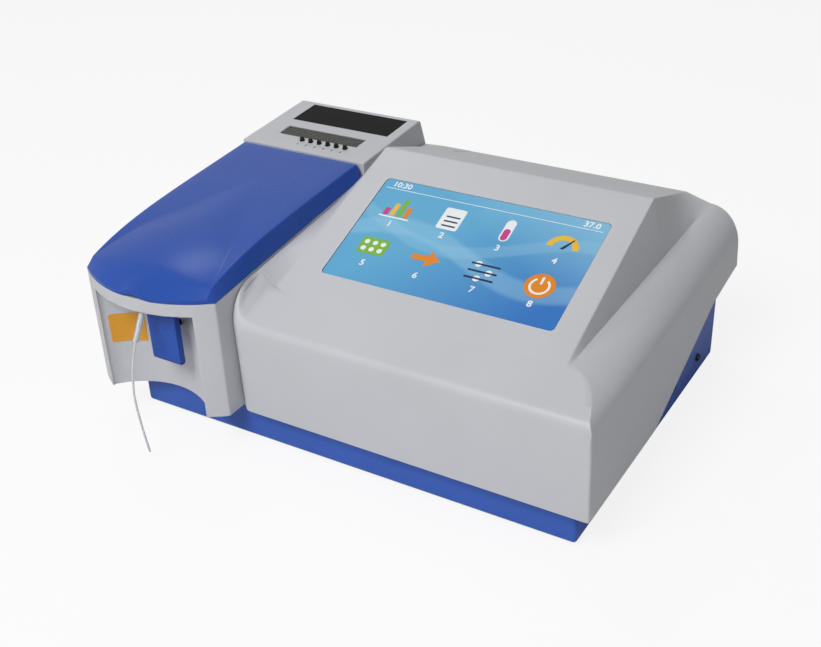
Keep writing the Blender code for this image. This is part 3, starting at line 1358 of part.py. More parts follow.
def smooth_route(points, count):
    """Points along a smooth curve through the given ones, evenly spaced by chord length."""
    points = np.array([tuple(p) for p in points])
    ends = np.vstack([2 * points[0] - points[1], points, 2 * points[-1] - points[-2]])
    fine = []
    for i in range(1, len(ends) - 2):
        before, start, stop, after = ends[i - 1], ends[i], ends[i + 1], ends[i + 2]
        slope, bend = stop - before, 2 * before - 5 * start + 4 * stop - after
        twist = 3 * start - before - 3 * stop + after
        for t in np.linspace(0, 1, TUBE_SPAN_STEPS, endpoint=False):
            fine.append((2 * start + slope * t + bend * t ** 2 + twist * t ** 3) / 2)
    fine = np.array(fine + [points[-1]])
    run = np.concatenate([[0.0], np.cumsum(np.linalg.norm(np.diff(fine, axis=0), axis=1))])
    marks = np.linspace(0.0, run[-1], count)
    return [tuple(float(np.interp(m, run, fine[:, k])) for k in range(3)) for m in marks]


def tube_curve(name, points, radius, material, resolution=2):
    """A tube along points, as a bevelled curve with filled caps."""
    curve = bpy.data.curves.new(name, "CURVE")
    curve.dimensions = "3D"
    curve.bevel_depth = radius
    curve.bevel_resolution = resolution
    curve.use_fill_caps = True
    curve.render_resolution_u = 0
    spline = curve.splines.new("POLY")
    spline.points.add(len(points) - 1)
    for target, point in zip(spline.points, points):
        target.co = (*point, 1.0)
    item = bpy.data.objects.new(name, curve)
    curve.materials.append(material)
    PARTS.objects.link(item)
    return item


def tray_outline(inset, open_top):
    """Side outline of the tray: low front, rising sides and a tall rear."""
    front, rear = TRAY_FRONT + inset, TRAY_REAR - inset
    low = Z_TRAY + inset
    side = Z_SKIRT - SEAM_GAP + open_top
    tall = Z_TRAY + SKIRT_REAR_HEIGHT - 2 * SEAM_GAP + open_top
    rise_end = Y_FRONT + SKIRT_RISE_END - TRAY_RISE_LEAD
    rise_start = Y_FRONT + SKIRT_RISE_START - TRAY_RISE_LEAD
    return [(front, low), (rear, low), (rear, tall), (rise_end, tall), (rise_start, side), (front, side)]


def bench_corners():
    """Plan corners of the optical bench."""
    return (X_LEFT + BENCH_LEFT, Y_NOSE + BENCH_FRONT), (X_MODULE - BENCH_RIGHT,
                                                         Y_NOSE + BENCH_FRONT + BENCH_LENGTH)


def board_corners():
    """Plan corners of the main board."""
    x, y = X_MAIN + SHELL_WALL + BOARD_FROM_SEAM, Y_FRONT + BOARD_SETBACK
    return (x, y), (x + BOARD_WIDTH, y + BOARD_LENGTH)


def supply_corners():
    """Plan corners of the power supply."""
    x = X_RIGHT - SUPPLY_FROM_RIGHT
    y = Y_FRONT + SUPPLY_SETBACK
    return (x - SUPPLY_WIDTH, y), (x, y + SUPPLY_LENGTH)


def inner_corners(corners, inset):
    """Four plan points inside a rectangle's corners."""
    (x_low, y_low), (x_high, y_high) = corners
    return [(x, y) for x in (x_low + inset, x_high - inset) for y in (y_low + inset, y_high - inset)]


def pump_centre():
    """Axis point of the pump at the front of its head."""
    return Vector((X_MAIN + PUMP_FROM_SEAM, Y_FRONT + PUMP_SETBACK, Z_TRAY + PUMP_HEIGHT))


def fan_centre():
    """Middle of the fan on the tray's rear wall."""
    return Vector((X_RIGHT - FAN_FROM_RIGHT, TRAY_REAR - TRAY_WALL - FIT_GAP, Z_TRAY + FAN_HEIGHT))


def inlet_centre():
    """Middle of the power inlet on the rear wall's outer face."""
    return Vector((X_RIGHT - INLET_FROM_RIGHT, TRAY_REAR, Z_TRAY + INLET_LEVEL))


def rocker_centre():
    """Middle of the rocker switch on the rear wall's outer face."""
    return inlet_centre() - Vector((ROCKER_FROM_INLET, 0, 0))


def port_centre(from_seam):
    """Middle of a port on the rear wall's outer face."""
    return Vector((X_MAIN + from_seam, TRAY_REAR, Z_TRAY + PORT_LEVEL))


def waste_centre():
    """Middle of the waste outlet on the rear wall's outer face."""
    return Vector((X_LEFT + WASTE_FROM_LEFT, TRAY_REAR, Z_TRAY + WASTE_LEVEL))


def wall_block(centre, width, height, front, rear):
    """A block about a point of the rear wall; front and rear are distances inside and outside of it."""
    return block((centre.x - width / 2, centre.y - front, centre.z - height / 2),
                 (centre.x + width / 2, centre.y + rear, centre.z + height / 2))


def side_screw_places():
    """Places of the two fasteners on the tray's right wall."""
    return [Vector((TRAY_RIGHT, TRAY_FRONT + y, Z_TRAY + z))
            for y, z in zip(SIDE_SCREW_SETBACKS, SIDE_SCREW_HEIGHTS)]


def make_tray():
    """Blue tray with risen sides, a tall rear wall with its openings, towers and standoffs."""
    tray = piece("base_tray", prism(tray_outline(0.0, 0.0), "X", TRAY_LEFT, TRAY_RIGHT), blue_paint())
    cut(tray, prism(tray_outline(TRAY_WALL, OVERRUN), "X", TRAY_LEFT + TRAY_WALL, TRAY_RIGHT - TRAY_WALL),
        "inside")
    root = Z_TRAY + TRAY_WALL / 2
    towers = post_shapes(main_posts() + module_posts(), TRAY_TOWER_RADIUS - SEAM_GAP, root, Z_SKIRT - FIT_GAP)
    standoffs = post_shapes(inner_corners(board_corners(), STANDOFF_INSET), STANDOFF_RADIUS, root,
                            Z_FLOOR + BOARD_RISE - FIT_GAP)
    join(tray, together(towers, standoffs), "towers")
    outer = 2 * OVERRUN
    wall = TRAY_WALL + OVERRUN
    grille = []
    fan = fan_centre()
    for index in range(GRILLE_COUNT):
        z = fan.z + (index - (GRILLE_COUNT - 1) / 2) * GRILLE_PITCH
        half = math.sqrt(max(FAN_BORE ** 2 - (z - fan.z) ** 2, GRILLE_PITCH ** 2))
        grille.append(block((fan.x - half, TRAY_REAR - wall, z - GRILLE_SLOT / 2),
                            (fan.x + half, TRAY_REAR + outer, z + GRILLE_SLOT / 2)))
    gap = 2 * FIT_GAP
    holes = [wall_block(inlet_centre(), INLET_WIDTH + gap, INLET_HEIGHT + gap, wall, outer),
             wall_block(rocker_centre(), ROCKER_BODY_WIDTH + gap, ROCKER_BODY_HEIGHT + gap, wall, outer),
             wall_block(port_centre(SERIAL_FROM_SEAM), SERIAL_SHELL_WIDTH + gap, SERIAL_SHELL_HEIGHT + gap,
                        wall, outer),
             wall_block(port_centre(USB_FROM_SEAM), USB_WIDTH + gap, USB_HEIGHT + gap, wall, outer)]
    waste = waste_centre()
    holes.append(bar((waste.x, waste.y - wall, waste.z), (waste.x, waste.y + outer, waste.z),
                     WASTE_RADIUS + FIT_GAP, 16))
    for place in side_screw_places():
        holes.append(bar((place.x - wall, place.y, place.z), (place.x + outer, place.y, place.z),
                         SIDE_SCREW_SHANK + FIT_GAP, 12))
    cut(tray, together(*grille, *holes), "wall_openings")
    for index, (x,
                y) in enumerate(inner_corners(((TRAY_LEFT, TRAY_FRONT), (TRAY_RIGHT, TRAY_REAR)),
                                              FOOT_INSET)):
        piece("foot_%d" % (index + 1),
              bar((x, y, 0), (x, y, FOOT_HEIGHT - FIT_GAP), FOOT_RADIUS * FOOT_TAPER_SHARE, 20, FOOT_RADIUS),
              rubber())
    for index, place in enumerate(side_screw_places()):
        profile = [(0, SIDE_SCREW_HEAD),
                   (SIDE_SCREW_RADIUS * SIDE_SCREW_TOP_SHARE, SIDE_SCREW_HEAD * SIDE_SCREW_CROWN_SHARE),
                   (SIDE_SCREW_RADIUS, SIDE_SCREW_HEAD * SIDE_SCREW_EDGE_SHARE), (SIDE_SCREW_RADIUS, FIT_GAP),
                   (SIDE_SCREW_SHANK, FIT_GAP),
                   (SIDE_SCREW_SHANK, -SIDE_SCREW_LENGTH), (0, -SIDE_SCREW_LENGTH)]
        turned("side_screw_%d" % (index + 1), profile, steel(), place, (1, 0, 0), 14)


def make_optics():
    """Bench with lamp, lens, flow cell block, filter wheel, motor and detector in line."""
    (x_low, y_low), (x_high, y_high) = bench_corners()
    bench = piece("optics_bench", block((x_low, y_low, Z_BENCH - BENCH_THICKNESS), (x_high, y_high, Z_BENCH)),
                  bare_aluminium())
    legs = post_shapes(inner_corners(bench_corners(), BENCH_LEG_INSET), BENCH_LEG_RADIUS, Z_FLOOR + FIT_GAP,
                       Z_BENCH - BENCH_THICKNESS / 2)
    wheel = wheel_centre()
    motor_low = wheel.z - MOTOR_SIDE / 2 - FIT_GAP
    motor_y = wheel.y - MOTOR_GAP - MOTOR_LENGTH
    half = MOTOR_SIDE / 2
    pedestal = block((wheel.x - half, motor_y, Z_BENCH - BENCH_THICKNESS / 2),
                     (wheel.x + half, motor_y + MOTOR_LENGTH,
                                                                               motor_low))
    join(bench, together(legs, pedestal), "legs")
    make_flow_block()
    make_filter_wheel(wheel)
    make_lamp()
    y = Y_NOSE + DETECTOR_SETBACK
    board = piece("detector_board", block((X_AXIS - DETECTOR_CAN, y, Z_BENCH + FIT_GAP),
                                          (X_AXIS - DETECTOR_CAN + DETECTOR_WIDTH, y + BOARD_THICKNESS,
                                           Z_AXIS + DETECTOR_WIDTH / 2)), board_green())
    join(board, bar((X_AXIS + DETECTOR_CAN / 2, y + BOARD_THICKNESS / 2, Z_AXIS),
                    (X_AXIS + DETECTOR_CAN / 2, y + BOARD_THICKNESS + DETECTOR_REACH, Z_AXIS), DETECTOR_CAN,
                    16), "can")


def wheel_centre():
    """Middle of the filter wheel's front face."""
    side = math.sqrt(WHEEL_CIRCLE ** 2 - WHEEL_DROP ** 2)
    return Vector((X_AXIS - side, Y_NOSE + WHEEL_SETBACK, Z_AXIS - WHEEL_DROP))


def make_filter_wheel(centre):
    """Eight-position filter wheel on the shaft of its stepper motor."""
    rear = centre + Vector((0, WHEEL_THICKNESS, 0))
    wheel = piece("filter_wheel", bar(centre, rear, WHEEL_RADIUS, 32), black_metal(), centre)
    nose = centre - Vector((0, MOTOR_GAP - FIT_GAP, 0))
    grip = centre - Vector((0, MOTOR_GAP + WHEEL_SHAFT_GRIP, 0))
    inside = centre + Vector((0, WHEEL_THICKNESS / 2, 0))
    join(wheel, bar(nose, inside, WHEEL_HUB_RADIUS, 20), "hub")
    join(wheel, bar(grip, inside, WHEEL_SHAFT_RADIUS, 16), "shaft")
    first = math.atan2(WHEEL_DROP, math.sqrt(WHEEL_CIRCLE ** 2 - WHEEL_DROP ** 2))
    holes = []
    for index in range(FILTER_COUNT):
        angle = first + index * 2 * math.pi / FILTER_COUNT
        x = centre.x + WHEEL_CIRCLE * math.cos(angle)
        z = centre.z + WHEEL_CIRCLE * math.sin(angle)
        holes.append(bar((x, centre.y - OVERRUN, z), (x, rear.y + OVERRUN, z), FILTER_RADIUS, 10))
    cut(wheel, together(*holes), "filters")
    half = MOTOR_SIDE / 2
    back = centre.y - MOTOR_GAP - MOTOR_LENGTH
    outline = [(centre.x + x, centre.z + z)
               for x, z in rounded_rectangle(MOTOR_SIDE, MOTOR_SIDE, half / 4, 2)]
    motor = piece("filter_motor", prism(outline, "Y", back, back + MOTOR_LENGTH), black_metal())
    cut(motor, bar(grip - Vector((0, FIT_GAP * 2, 0)), centre, WHEEL_SHAFT_RADIUS + FIT_GAP, 16), "bore")


def make_flow_block():
    """Cell block with a square cuvette well open at the deck, a light bore and a quartz cell below."""
    (x_low, y_low), (x_high, y_high) = flow_block_box(0.0)
    middle_y = (y_low + y_high) / 2
    top = lid_low(middle_y) - LID_REST_GAP + BLOCK_PROUD
    body = piece("flow_cell_block", block((x_low, y_low, Z_BENCH + FIT_GAP), (x_high, y_high, top)),
                 black_metal())
    half = CUVETTE_WELL / 2
    cut(body, block((X_AXIS - half, middle_y - half, top - CUVETTE_DEPTH), (X_AXIS + half, middle_y + half,
                                                                           top + OVERRUN)), "well")
    cut(body, bar((X_AXIS, y_low - OVERRUN, Z_AXIS), (X_AXIS, y_high + OVERRUN, Z_AXIS), LIGHT_BORE, 16),
        "light")
    size = CELL_SIZE / 2 + FIT_GAP
    cell_top = top - CUVETTE_DEPTH - SHELL_WALL
    cut(body, block((X_AXIS - size, y_low - OVERRUN, cell_top - CELL_LENGTH - FIT_GAP),
                    (X_AXIS + size, middle_y + size, cell_top + FIT_GAP)), "cell_slot")
    size = CELL_SIZE / 2
    piece("flow_cell", block((X_AXIS - size, middle_y - size, cell_top - CELL_LENGTH),
                             (X_AXIS + size, middle_y + size, cell_top)), clear_glass())


def make_lamp():
    """Finned lamp housing, the halogen lamp standing in it and the lens seated in its front."""
    y = Y_NOSE + LAMP_SETBACK
    half = LAMP_WIDTH / 2
    low = Z_BENCH + FIT_GAP
    housing = piece("lamp_housing",
                    block((X_AXIS - half, y, low), (X_AXIS + half, y + LAMP_LENGTH, low + LAMP_HEIGHT)),
                    bare_aluminium())
    centre_y = y + LENS_SEAT + LENS_THICKNESS + LAMP_CAVITY
    cut(housing,
        bar((X_AXIS, centre_y, low + LAMP_FLOOR), (X_AXIS, centre_y, low + LAMP_HEIGHT + OVERRUN),
            LAMP_CAVITY,
                     24), "cavity")
    cut(housing,
        bar((X_AXIS, y - OVERRUN, Z_AXIS), (X_AXIS, centre_y, Z_AXIS), LENS_RADIUS * LENS_APERTURE_SHARE, 20),
        "light")
    cut(housing,
        bar((X_AXIS, y - OVERRUN, Z_AXIS), (X_AXIS, y + LENS_SEAT, Z_AXIS), LENS_RADIUS + FIT_GAP, 20),
        "seat")
    slots = []
    for index in range(FIN_COUNT):
        x = X_AXIS + ((index + 0.5) / FIN_COUNT - 0.5) * LAMP_WIDTH
        slots.append(block((x - FIN_SLOT / 2, y + LAMP_LENGTH - FIN_DEPTH, low + LAMP_FLOOR),
                           (x + FIN_SLOT / 2, y + LAMP_LENGTH + OVERRUN, low + LAMP_HEIGHT + OVERRUN)))
    cut(housing, together(*slots), "fins")
    foot = low + LAMP_FLOOR + FIT_GAP
    shoulder = foot + LAMP_BASE_HEIGHT
    top = Z_TRAY + LAMP_BULB_TOP
    profile = [(0, top), (LAMP_BULB_RADIUS * LAMP_TIP_SHARE, top - LAMP_BULB_RADIUS * LAMP_TIP_DROP_SHARE),
               (LAMP_BULB_RADIUS, top - LAMP_BULB_RADIUS),
               (LAMP_BULB_RADIUS, shoulder), (LAMP_BASE_RADIUS, shoulder), (LAMP_BASE_RADIUS, foot),
               (0, foot)]
    turned("halogen_lamp", [(r, h - foot) for r, h in profile], clear_glass(), (X_AXIS, centre_y, foot),
           (0, 0, 1), 18)
    rear = y + LENS_SEAT - FIT_GAP
    crown = LENS_THICKNESS / 2
    lens = [(0, crown + LENS_CROWN / 2), (LENS_RADIUS * LENS_EDGE_SHARE, crown),
            (LENS_RADIUS, crown - LENS_CROWN / 2),
            (LENS_RADIUS, -crown), (0, -crown)]
    turned("condenser_lens", lens, clear_glass(), (X_AXIS, rear - crown, Z_AXIS), (0, -1, 0), 20)


def make_pump():
    """Peristaltic pump: head on a foot, rotor with three rollers, tube and motor."""
    centre = pump_centre()
    half = PUMP_SIDE / 2
    rear = centre.y + PUMP_DEPTH
    outline = [(centre.x + x, centre.z + z) for x, z in rounded_rectangle(PUMP_SIDE, PUMP_SIDE, half / 5, 2)]
    head = piece("pump_head", prism(outline, "Y", centre.y, rear), black_plastic())
    foot_top = centre.z - half + PUMP_BACK
    join(head,
         block((centre.x - half, centre.y, Z_FLOOR + FIT_GAP),
               (centre.x + half, rear + PUMP_FOOT_WIDTH, foot_top)),
         "foot")
    floor = rear - PUMP_BACK
    cut(head, bar((centre.x, centre.y - OVERRUN, centre.z), (centre.x, floor, centre.z), PUMP_CHAMBER, 36),
        "chamber")
    tube_circle = PUMP_CHAMBER - PUMP_TUBE_RADIUS - FIT_GAP
    slot = PUMP_TUBE_RADIUS + FIT_GAP
    slots = [block((centre.x + s * tube_circle - slot, centre.y - OVERRUN, centre.z),
                   (centre.x + s * tube_circle + slot, floor, centre.z + half + OVERRUN)) for s in (-1, 1)]
    cut(head, together(*slots), "tube_slots")
    cut(head, bar((centre.x, floor - OVERRUN, centre.z), (centre.x, rear + OVERRUN, centre.z),
                  PUMP_SHAFT_RADIUS + FIT_GAP, 16), "shaft")
    make_pump_rotor(centre, floor, rear)
    middle = centre.y + (floor - centre.y) / 2
    points = [(centre.x - tube_circle, middle, centre.z + half + PUMP_TUBE_RISE),
              (centre.x - tube_circle, middle,
                                                                                  centre.z + half / 2)]
    points += [(centre.x - tube_circle * math.cos(a), middle, centre.z - tube_circle * math.sin(a))
               for a in np.linspace(0.0, math.pi, 17)]
    points += [(centre.x + tube_circle, middle, centre.z + half / 2),
               (centre.x + tube_circle, middle, centre.z + half + PUMP_TUBE_RISE)]
    tube_curve("pump_tube", points, PUMP_TUBE_RADIUS, clear_glass())
    start = rear + FIT_GAP
    motor = piece("pump_motor",
                  bar((centre.x, start, centre.z), (centre.x, start + PUMP_MOTOR_LENGTH, centre.z),
                                    PUMP_MOTOR_RADIUS, 28), steel())
    cut(motor,
        bar((centre.x, start - OVERRUN, centre.z), (centre.x, rear + PUMP_SHAFT_GRIP + 2 * FIT_GAP, centre.z),
                   PUMP_SHAFT_RADIUS + FIT_GAP, 16), "bore")


def make_pump_rotor(centre, floor, rear):
    """Rotor plate with a shaft into the motor and a pin for each roller."""
    back = floor - FIT_GAP
    front = back - PUMP_PLATE_THICKNESS
    origin = Vector((centre.x, back, centre.z))
    rotor = piece("pump_rotor", bar((centre.x, front, centre.z), origin, PUMP_PLATE_RADIUS, 24),
                  bare_aluminium(), origin)
    inside = (front + back) / 2
    join(rotor,
         bar((centre.x, inside, centre.z), (centre.x, rear + PUMP_SHAFT_GRIP, centre.z), PUMP_SHAFT_RADIUS,
             16),
         "shaft")
    pins = []
    for index in range(PUMP_ROLLER_COUNT):
        angle = math.pi / 2 + index * 2 * math.pi / PUMP_ROLLER_COUNT
        x = centre.x + PUMP_ROLLER_CIRCLE * math.cos(angle)
        z = centre.z + PUMP_ROLLER_CIRCLE * math.sin(angle)
        tip = front - FIT_GAP - PUMP_ROLLER_LENGTH
        pins.append(bar((x, inside, z), (x, tip, z), PUMP_ROLLER_PIN, 12))
        start = Vector((x, front - FIT_GAP, z))
        roller = piece("pump_roller_%d" % (index + 1), bar(start, (x, tip, z), PUMP_ROLLER_RADIUS, 18),
                       black_plastic(),
                       start)
        cut(roller, bar((x, front + OVERRUN, z), (x, tip - OVERRUN, z), PUMP_ROLLER_PIN + FIT_GAP, 12),
            "bore")
    join(rotor, together(*pins), "pins")


def make_electronics():
    """Main board on standoffs and the vented power supply."""
    (x_low, y_low), (x_high, y_high) = board_corners()
    z = Z_FLOOR + BOARD_RISE
    board = piece("main_board", block((x_low, y_low, z), (x_high, y_high, z + BOARD_THICKNESS)),
                  board_green())
    top = z + BOARD_THICKNESS
    root = z + BOARD_THICKNESS / 2
    parts = []
    for i, j in CHIP_SHARES:
        x, y = x_low + i * BOARD_WIDTH, y_low + j * BOARD_LENGTH
        parts.append(block((x, y, root), (x + CHIP_SIDE, y + CHIP_SIDE, top + CHIP_HEIGHT)))
    for i in HEADER_SHARES:
        x = x_low + i * BOARD_WIDTH
        parts.append(block((x, y_low + HEADER_WIDTH, root), (x + 3 * HEADER_WIDTH, y_low + 2 * HEADER_WIDTH,
                                                            top + HEADER_HEIGHT)))
    join(board, together(*parts), "components")
    (x_low, y_low), (x_high, y_high) = supply_corners()
    z = Z_FLOOR + FIT_GAP
    supply = piece("power_supply", block((x_low, y_low, z), (x_high, y_high, z + SUPPLY_HEIGHT)), steel())
    slots = []
    for index in range(SUPPLY_SLOT_COUNT):
        y = y_low + (index + 0.5) / SUPPLY_SLOT_COUNT * SUPPLY_LENGTH
        slots.append(block((x_low + SUPPLY_MARGIN, y - SUPPLY_SLOT / 2,
                            z + SUPPLY_HEIGHT - SUPPLY_SLOT_DEPTH),
                           (x_high - SUPPLY_MARGIN, y + SUPPLY_SLOT / 2, z + SUPPLY_HEIGHT + OVERRUN)))
    cut(supply, together(*slots), "vents")


def make_fan():
    """Axial fan behind the grille: square frame with a spider, and a pitched rotor."""
    centre = fan_centre()
    rear, front = centre.y, centre.y - FAN_DEPTH
    outline = [(centre.x + x, centre.z + z)
               for x, z in rounded_rectangle(FAN_SIDE, FAN_SIDE, FAN_SIDE / 14, 2)]
    frame = piece("fan_frame", prism(outline, "Y", front, rear), black_plastic())
    cut(frame, bar((centre.x, front - OVERRUN, centre.z), (centre.x, rear + OVERRUN, centre.z), FAN_BORE, 32),
        "bore")
    reach = FAN_BORE + SHELL_WALL / 2
    width = FAN_SPIDER_WIDTH / 2
    plate = front + FAN_SPIDER_THICKNESS
    join(frame,
         block((centre.x - reach, front, centre.z - width), (centre.x + reach, plate, centre.z + width)),
         "spider_x")
    join(frame,
         block((centre.x - width, front, centre.z - reach), (centre.x + width, plate, centre.z + reach)),
         "spider_z")
    join(frame, bar((centre.x, front, centre.z), (centre.x, plate, centre.z), FAN_HUB_RADIUS, 24),
         "spider_hub")
    cut(frame, bar((centre.x, front - OVERRUN, centre.z), (centre.x, plate + OVERRUN, centre.z),
                   FAN_SHAFT_RADIUS + FIT_GAP, 12), "shaft")
    start = plate + FIT_GAP
    stop = rear - FAN_SPIDER_THICKNESS / 2
    origin = Vector((centre.x, start, centre.z))
    rotor = piece("fan_rotor", bar(origin, (centre.x, stop, centre.z), FAN_HUB_RADIUS, 24), black_plastic(),
                  origin)
    join(rotor,
         bar((centre.x, front, centre.z), (centre.x, start + FAN_SPIDER_THICKNESS, centre.z),
             FAN_SHAFT_RADIUS, 12),
         "shaft")
    chord = (stop - start) * FAN_CHORD_SHARE / math.cos(FAN_BLADE_PITCH)
    blades = []
    for index in range(FAN_BLADE_COUNT):
        blade = block((FAN_HUB_RADIUS * FAN_ROOT_SHARE, -chord / 2, -FAN_BLADE_THICKNESS / 2),
                      (FAN_BLADE_RADIUS, chord / 2, FAN_BLADE_THICKNESS / 2))
        moved(blade, Matrix.Rotation(FAN_BLADE_PITCH, 4, "X"))
        moved(blade, Matrix.Rotation(index * 2 * math.pi / FAN_BLADE_COUNT, 4, "Y"))
        blades.append(moved(blade, Matrix.Translation((centre.x, (start + stop) / 2, centre.z))))
    join(rotor, together(*blades), "blades")


def make_rear_fittings():
    """Power inlet, rocker switch, serial and USB ports and the waste outlet."""
    place = inlet_centre()
    inlet = piece("power_inlet",
                  wall_block(place, INLET_WIDTH, INLET_HEIGHT, INLET_DEPTH, FIT_GAP + TRAY_WALL / 2),
                  black_plastic())
    join(inlet,
         wall_block(place, INLET_FLANGE_WIDTH, INLET_FLANGE_HEIGHT, -FIT_GAP,
                    FIT_GAP + INLET_FLANGE_THICKNESS),
         "flange")
    wall = 2 * INLET_SOCKET_WALL
    cut(inlet, wall_block(place, INLET_WIDTH - wall, INLET_HEIGHT - wall, INLET_SOCKET_DEPTH, OVERRUN),
        "socket")
    pins = []
    for i, rise in ((-1, 0.0), (0, INLET_PIN), (1, 0.0)):
        pin = place + Vector((i * INLET_PIN_PITCH, 0, rise - INLET_PIN / 2))
        pins.append(wall_block(pin, INLET_PIN, INLET_PIN * 2, INLET_SOCKET_DEPTH + INLET_PIN,
                               INLET_PIN_REACH - INLET_SOCKET_DEPTH))
    join(inlet, together(*pins), "pins")
    make_rocker()
    place = port_centre(SERIAL_FROM_SEAM)
    serial = piece("serial_port", wall_block(place, SERIAL_WIDTH, SERIAL_HEIGHT, TRAY_WALL + SERIAL_DEPTH,
                                             -TRAY_WALL - FIT_GAP), steel())
    join(serial, wall_block(place, SERIAL_SHELL_WIDTH, SERIAL_SHELL_HEIGHT, 2 * TRAY_WALL, SERIAL_PROUD),
         "shell")
    thick = 2 * USB_WALL
    cut(serial, wall_block(place, SERIAL_SHELL_WIDTH - thick, SERIAL_SHELL_HEIGHT - thick, TRAY_WALL,
                           SERIAL_PROUD + OVERRUN), "socket")
    place = port_centre(USB_FROM_SEAM)
    usb = piece("usb_port", wall_block(place, USB_WIDTH, USB_HEIGHT, USB_DEPTH, FIT_GAP), steel())
    cut(usb, wall_block(place, USB_WIDTH - thick, USB_HEIGHT - thick, USB_DEPTH - USB_TONGUE, OVERRUN),
        "socket")
    tongue = place + Vector((0, 0, USB_TONGUE / 2))
    join(usb, wall_block(tongue, USB_WIDTH - 3 * thick, USB_TONGUE, USB_DEPTH - USB_WALL, -USB_TONGUE),
         "tongue")
    place = waste_centre()
    nut = FIT_GAP + WASTE_NUT_THICKNESS
    profile = [(WASTE_BORE, WASTE_PROUD), (WASTE_RIM, WASTE_PROUD), (WASTE_RIM, nut), (WASTE_NUT, nut),
               (WASTE_NUT, FIT_GAP), (WASTE_RADIUS, FIT_GAP), (WASTE_RADIUS, -WASTE_REACH),
               (WASTE_BORE, -WASTE_REACH),
               (WASTE_BORE, WASTE_PROUD)]
    turned("waste_outlet", profile, steel(), place, (0, 1, 0), 18)


def make_rocker():
    """Mains switch: a body in the rear wall and a rocker on an axle in it."""
    place = rocker_centre()
    flange = 2 * ROCKER_FLANGE
    proud = FIT_GAP + ROCKER_FLANGE
    body = piece("switch_body",
                 wall_block(place, ROCKER_BODY_WIDTH, ROCKER_BODY_HEIGHT, ROCKER_BODY_DEPTH, proud),
                 black_plastic())
    join(body, wall_block(place, ROCKER_BODY_WIDTH + flange, ROCKER_BODY_HEIGHT + flange, -FIT_GAP, proud),
         "flange")
    thick = 2 * ROCKER_BODY_WALL
    depth = ROCKER_HEIGHT / 2 * math.sin(ROCKER_TILT) + ROCKER_THICKNESS + ROCKER_AXLE_RADIUS
    cut(body, wall_block(place, ROCKER_BODY_WIDTH - thick, ROCKER_BODY_HEIGHT - thick, depth, OVERRUN),
        "well")
    axis = place + Vector((0, proud - ROCKER_THICKNESS / 2, 0))
    half = ROCKER_BODY_WIDTH / 2 - ROCKER_BODY_WALL / 2
    width = ROCKER_WIDTH / 2
    turn = Matrix.Translation(axis) @ Matrix.Rotation(-ROCKER_TILT, 4, "X")
    tall = ROCKER_HEIGHT / 2
    front, rear = -ROCKER_THICKNESS / 2, ROCKER_THICKNESS / 2
    outline = [(front, -tall), (rear, -tall), (rear * ROCKER_DISH_SHARE, 0), (rear, tall), (front, tall)]
    rocker = piece("power_switch", moved(prism(outline, "X", -width, width), turn), black_plastic(), axis)
    join(rocker, bar(axis - Vector((half, 0, 0)), axis + Vector((half, 0, 0)), ROCKER_AXLE_RADIUS, 12),
         "axle")
    reach = ROCKER_BODY_WIDTH / 2 - ROCKER_BODY_WALL / 4
    cut(body,
        bar(axis - Vector((reach, 0, 0)), axis + Vector((reach, 0, 0)), ROCKER_AXLE_RADIUS + FIT_GAP, 12),
        "axle")


def cover_pivot():
    """Middle of the printer cover's hinge axis, just inside its foot."""
    return Vector((printer_x(), Y_ROOF_END - COVER_PIVOT_INSET, Z_TRAY + COVER_BOTTOM + COVER_PIVOT_RISE))


def platen_centre():
    """Middle of the platen roller."""
    return Vector((printer_x(), Y_RIDGE + PLATEN_SETBACK, Z_TRAY + PLATEN_HEIGHT))


def roll_centre():
    """Middle of the paper roll."""
    return Vector((printer_x(), Y_RIDGE + ROLL_SETBACK, Z_TRAY + ROLL_HEIGHT))


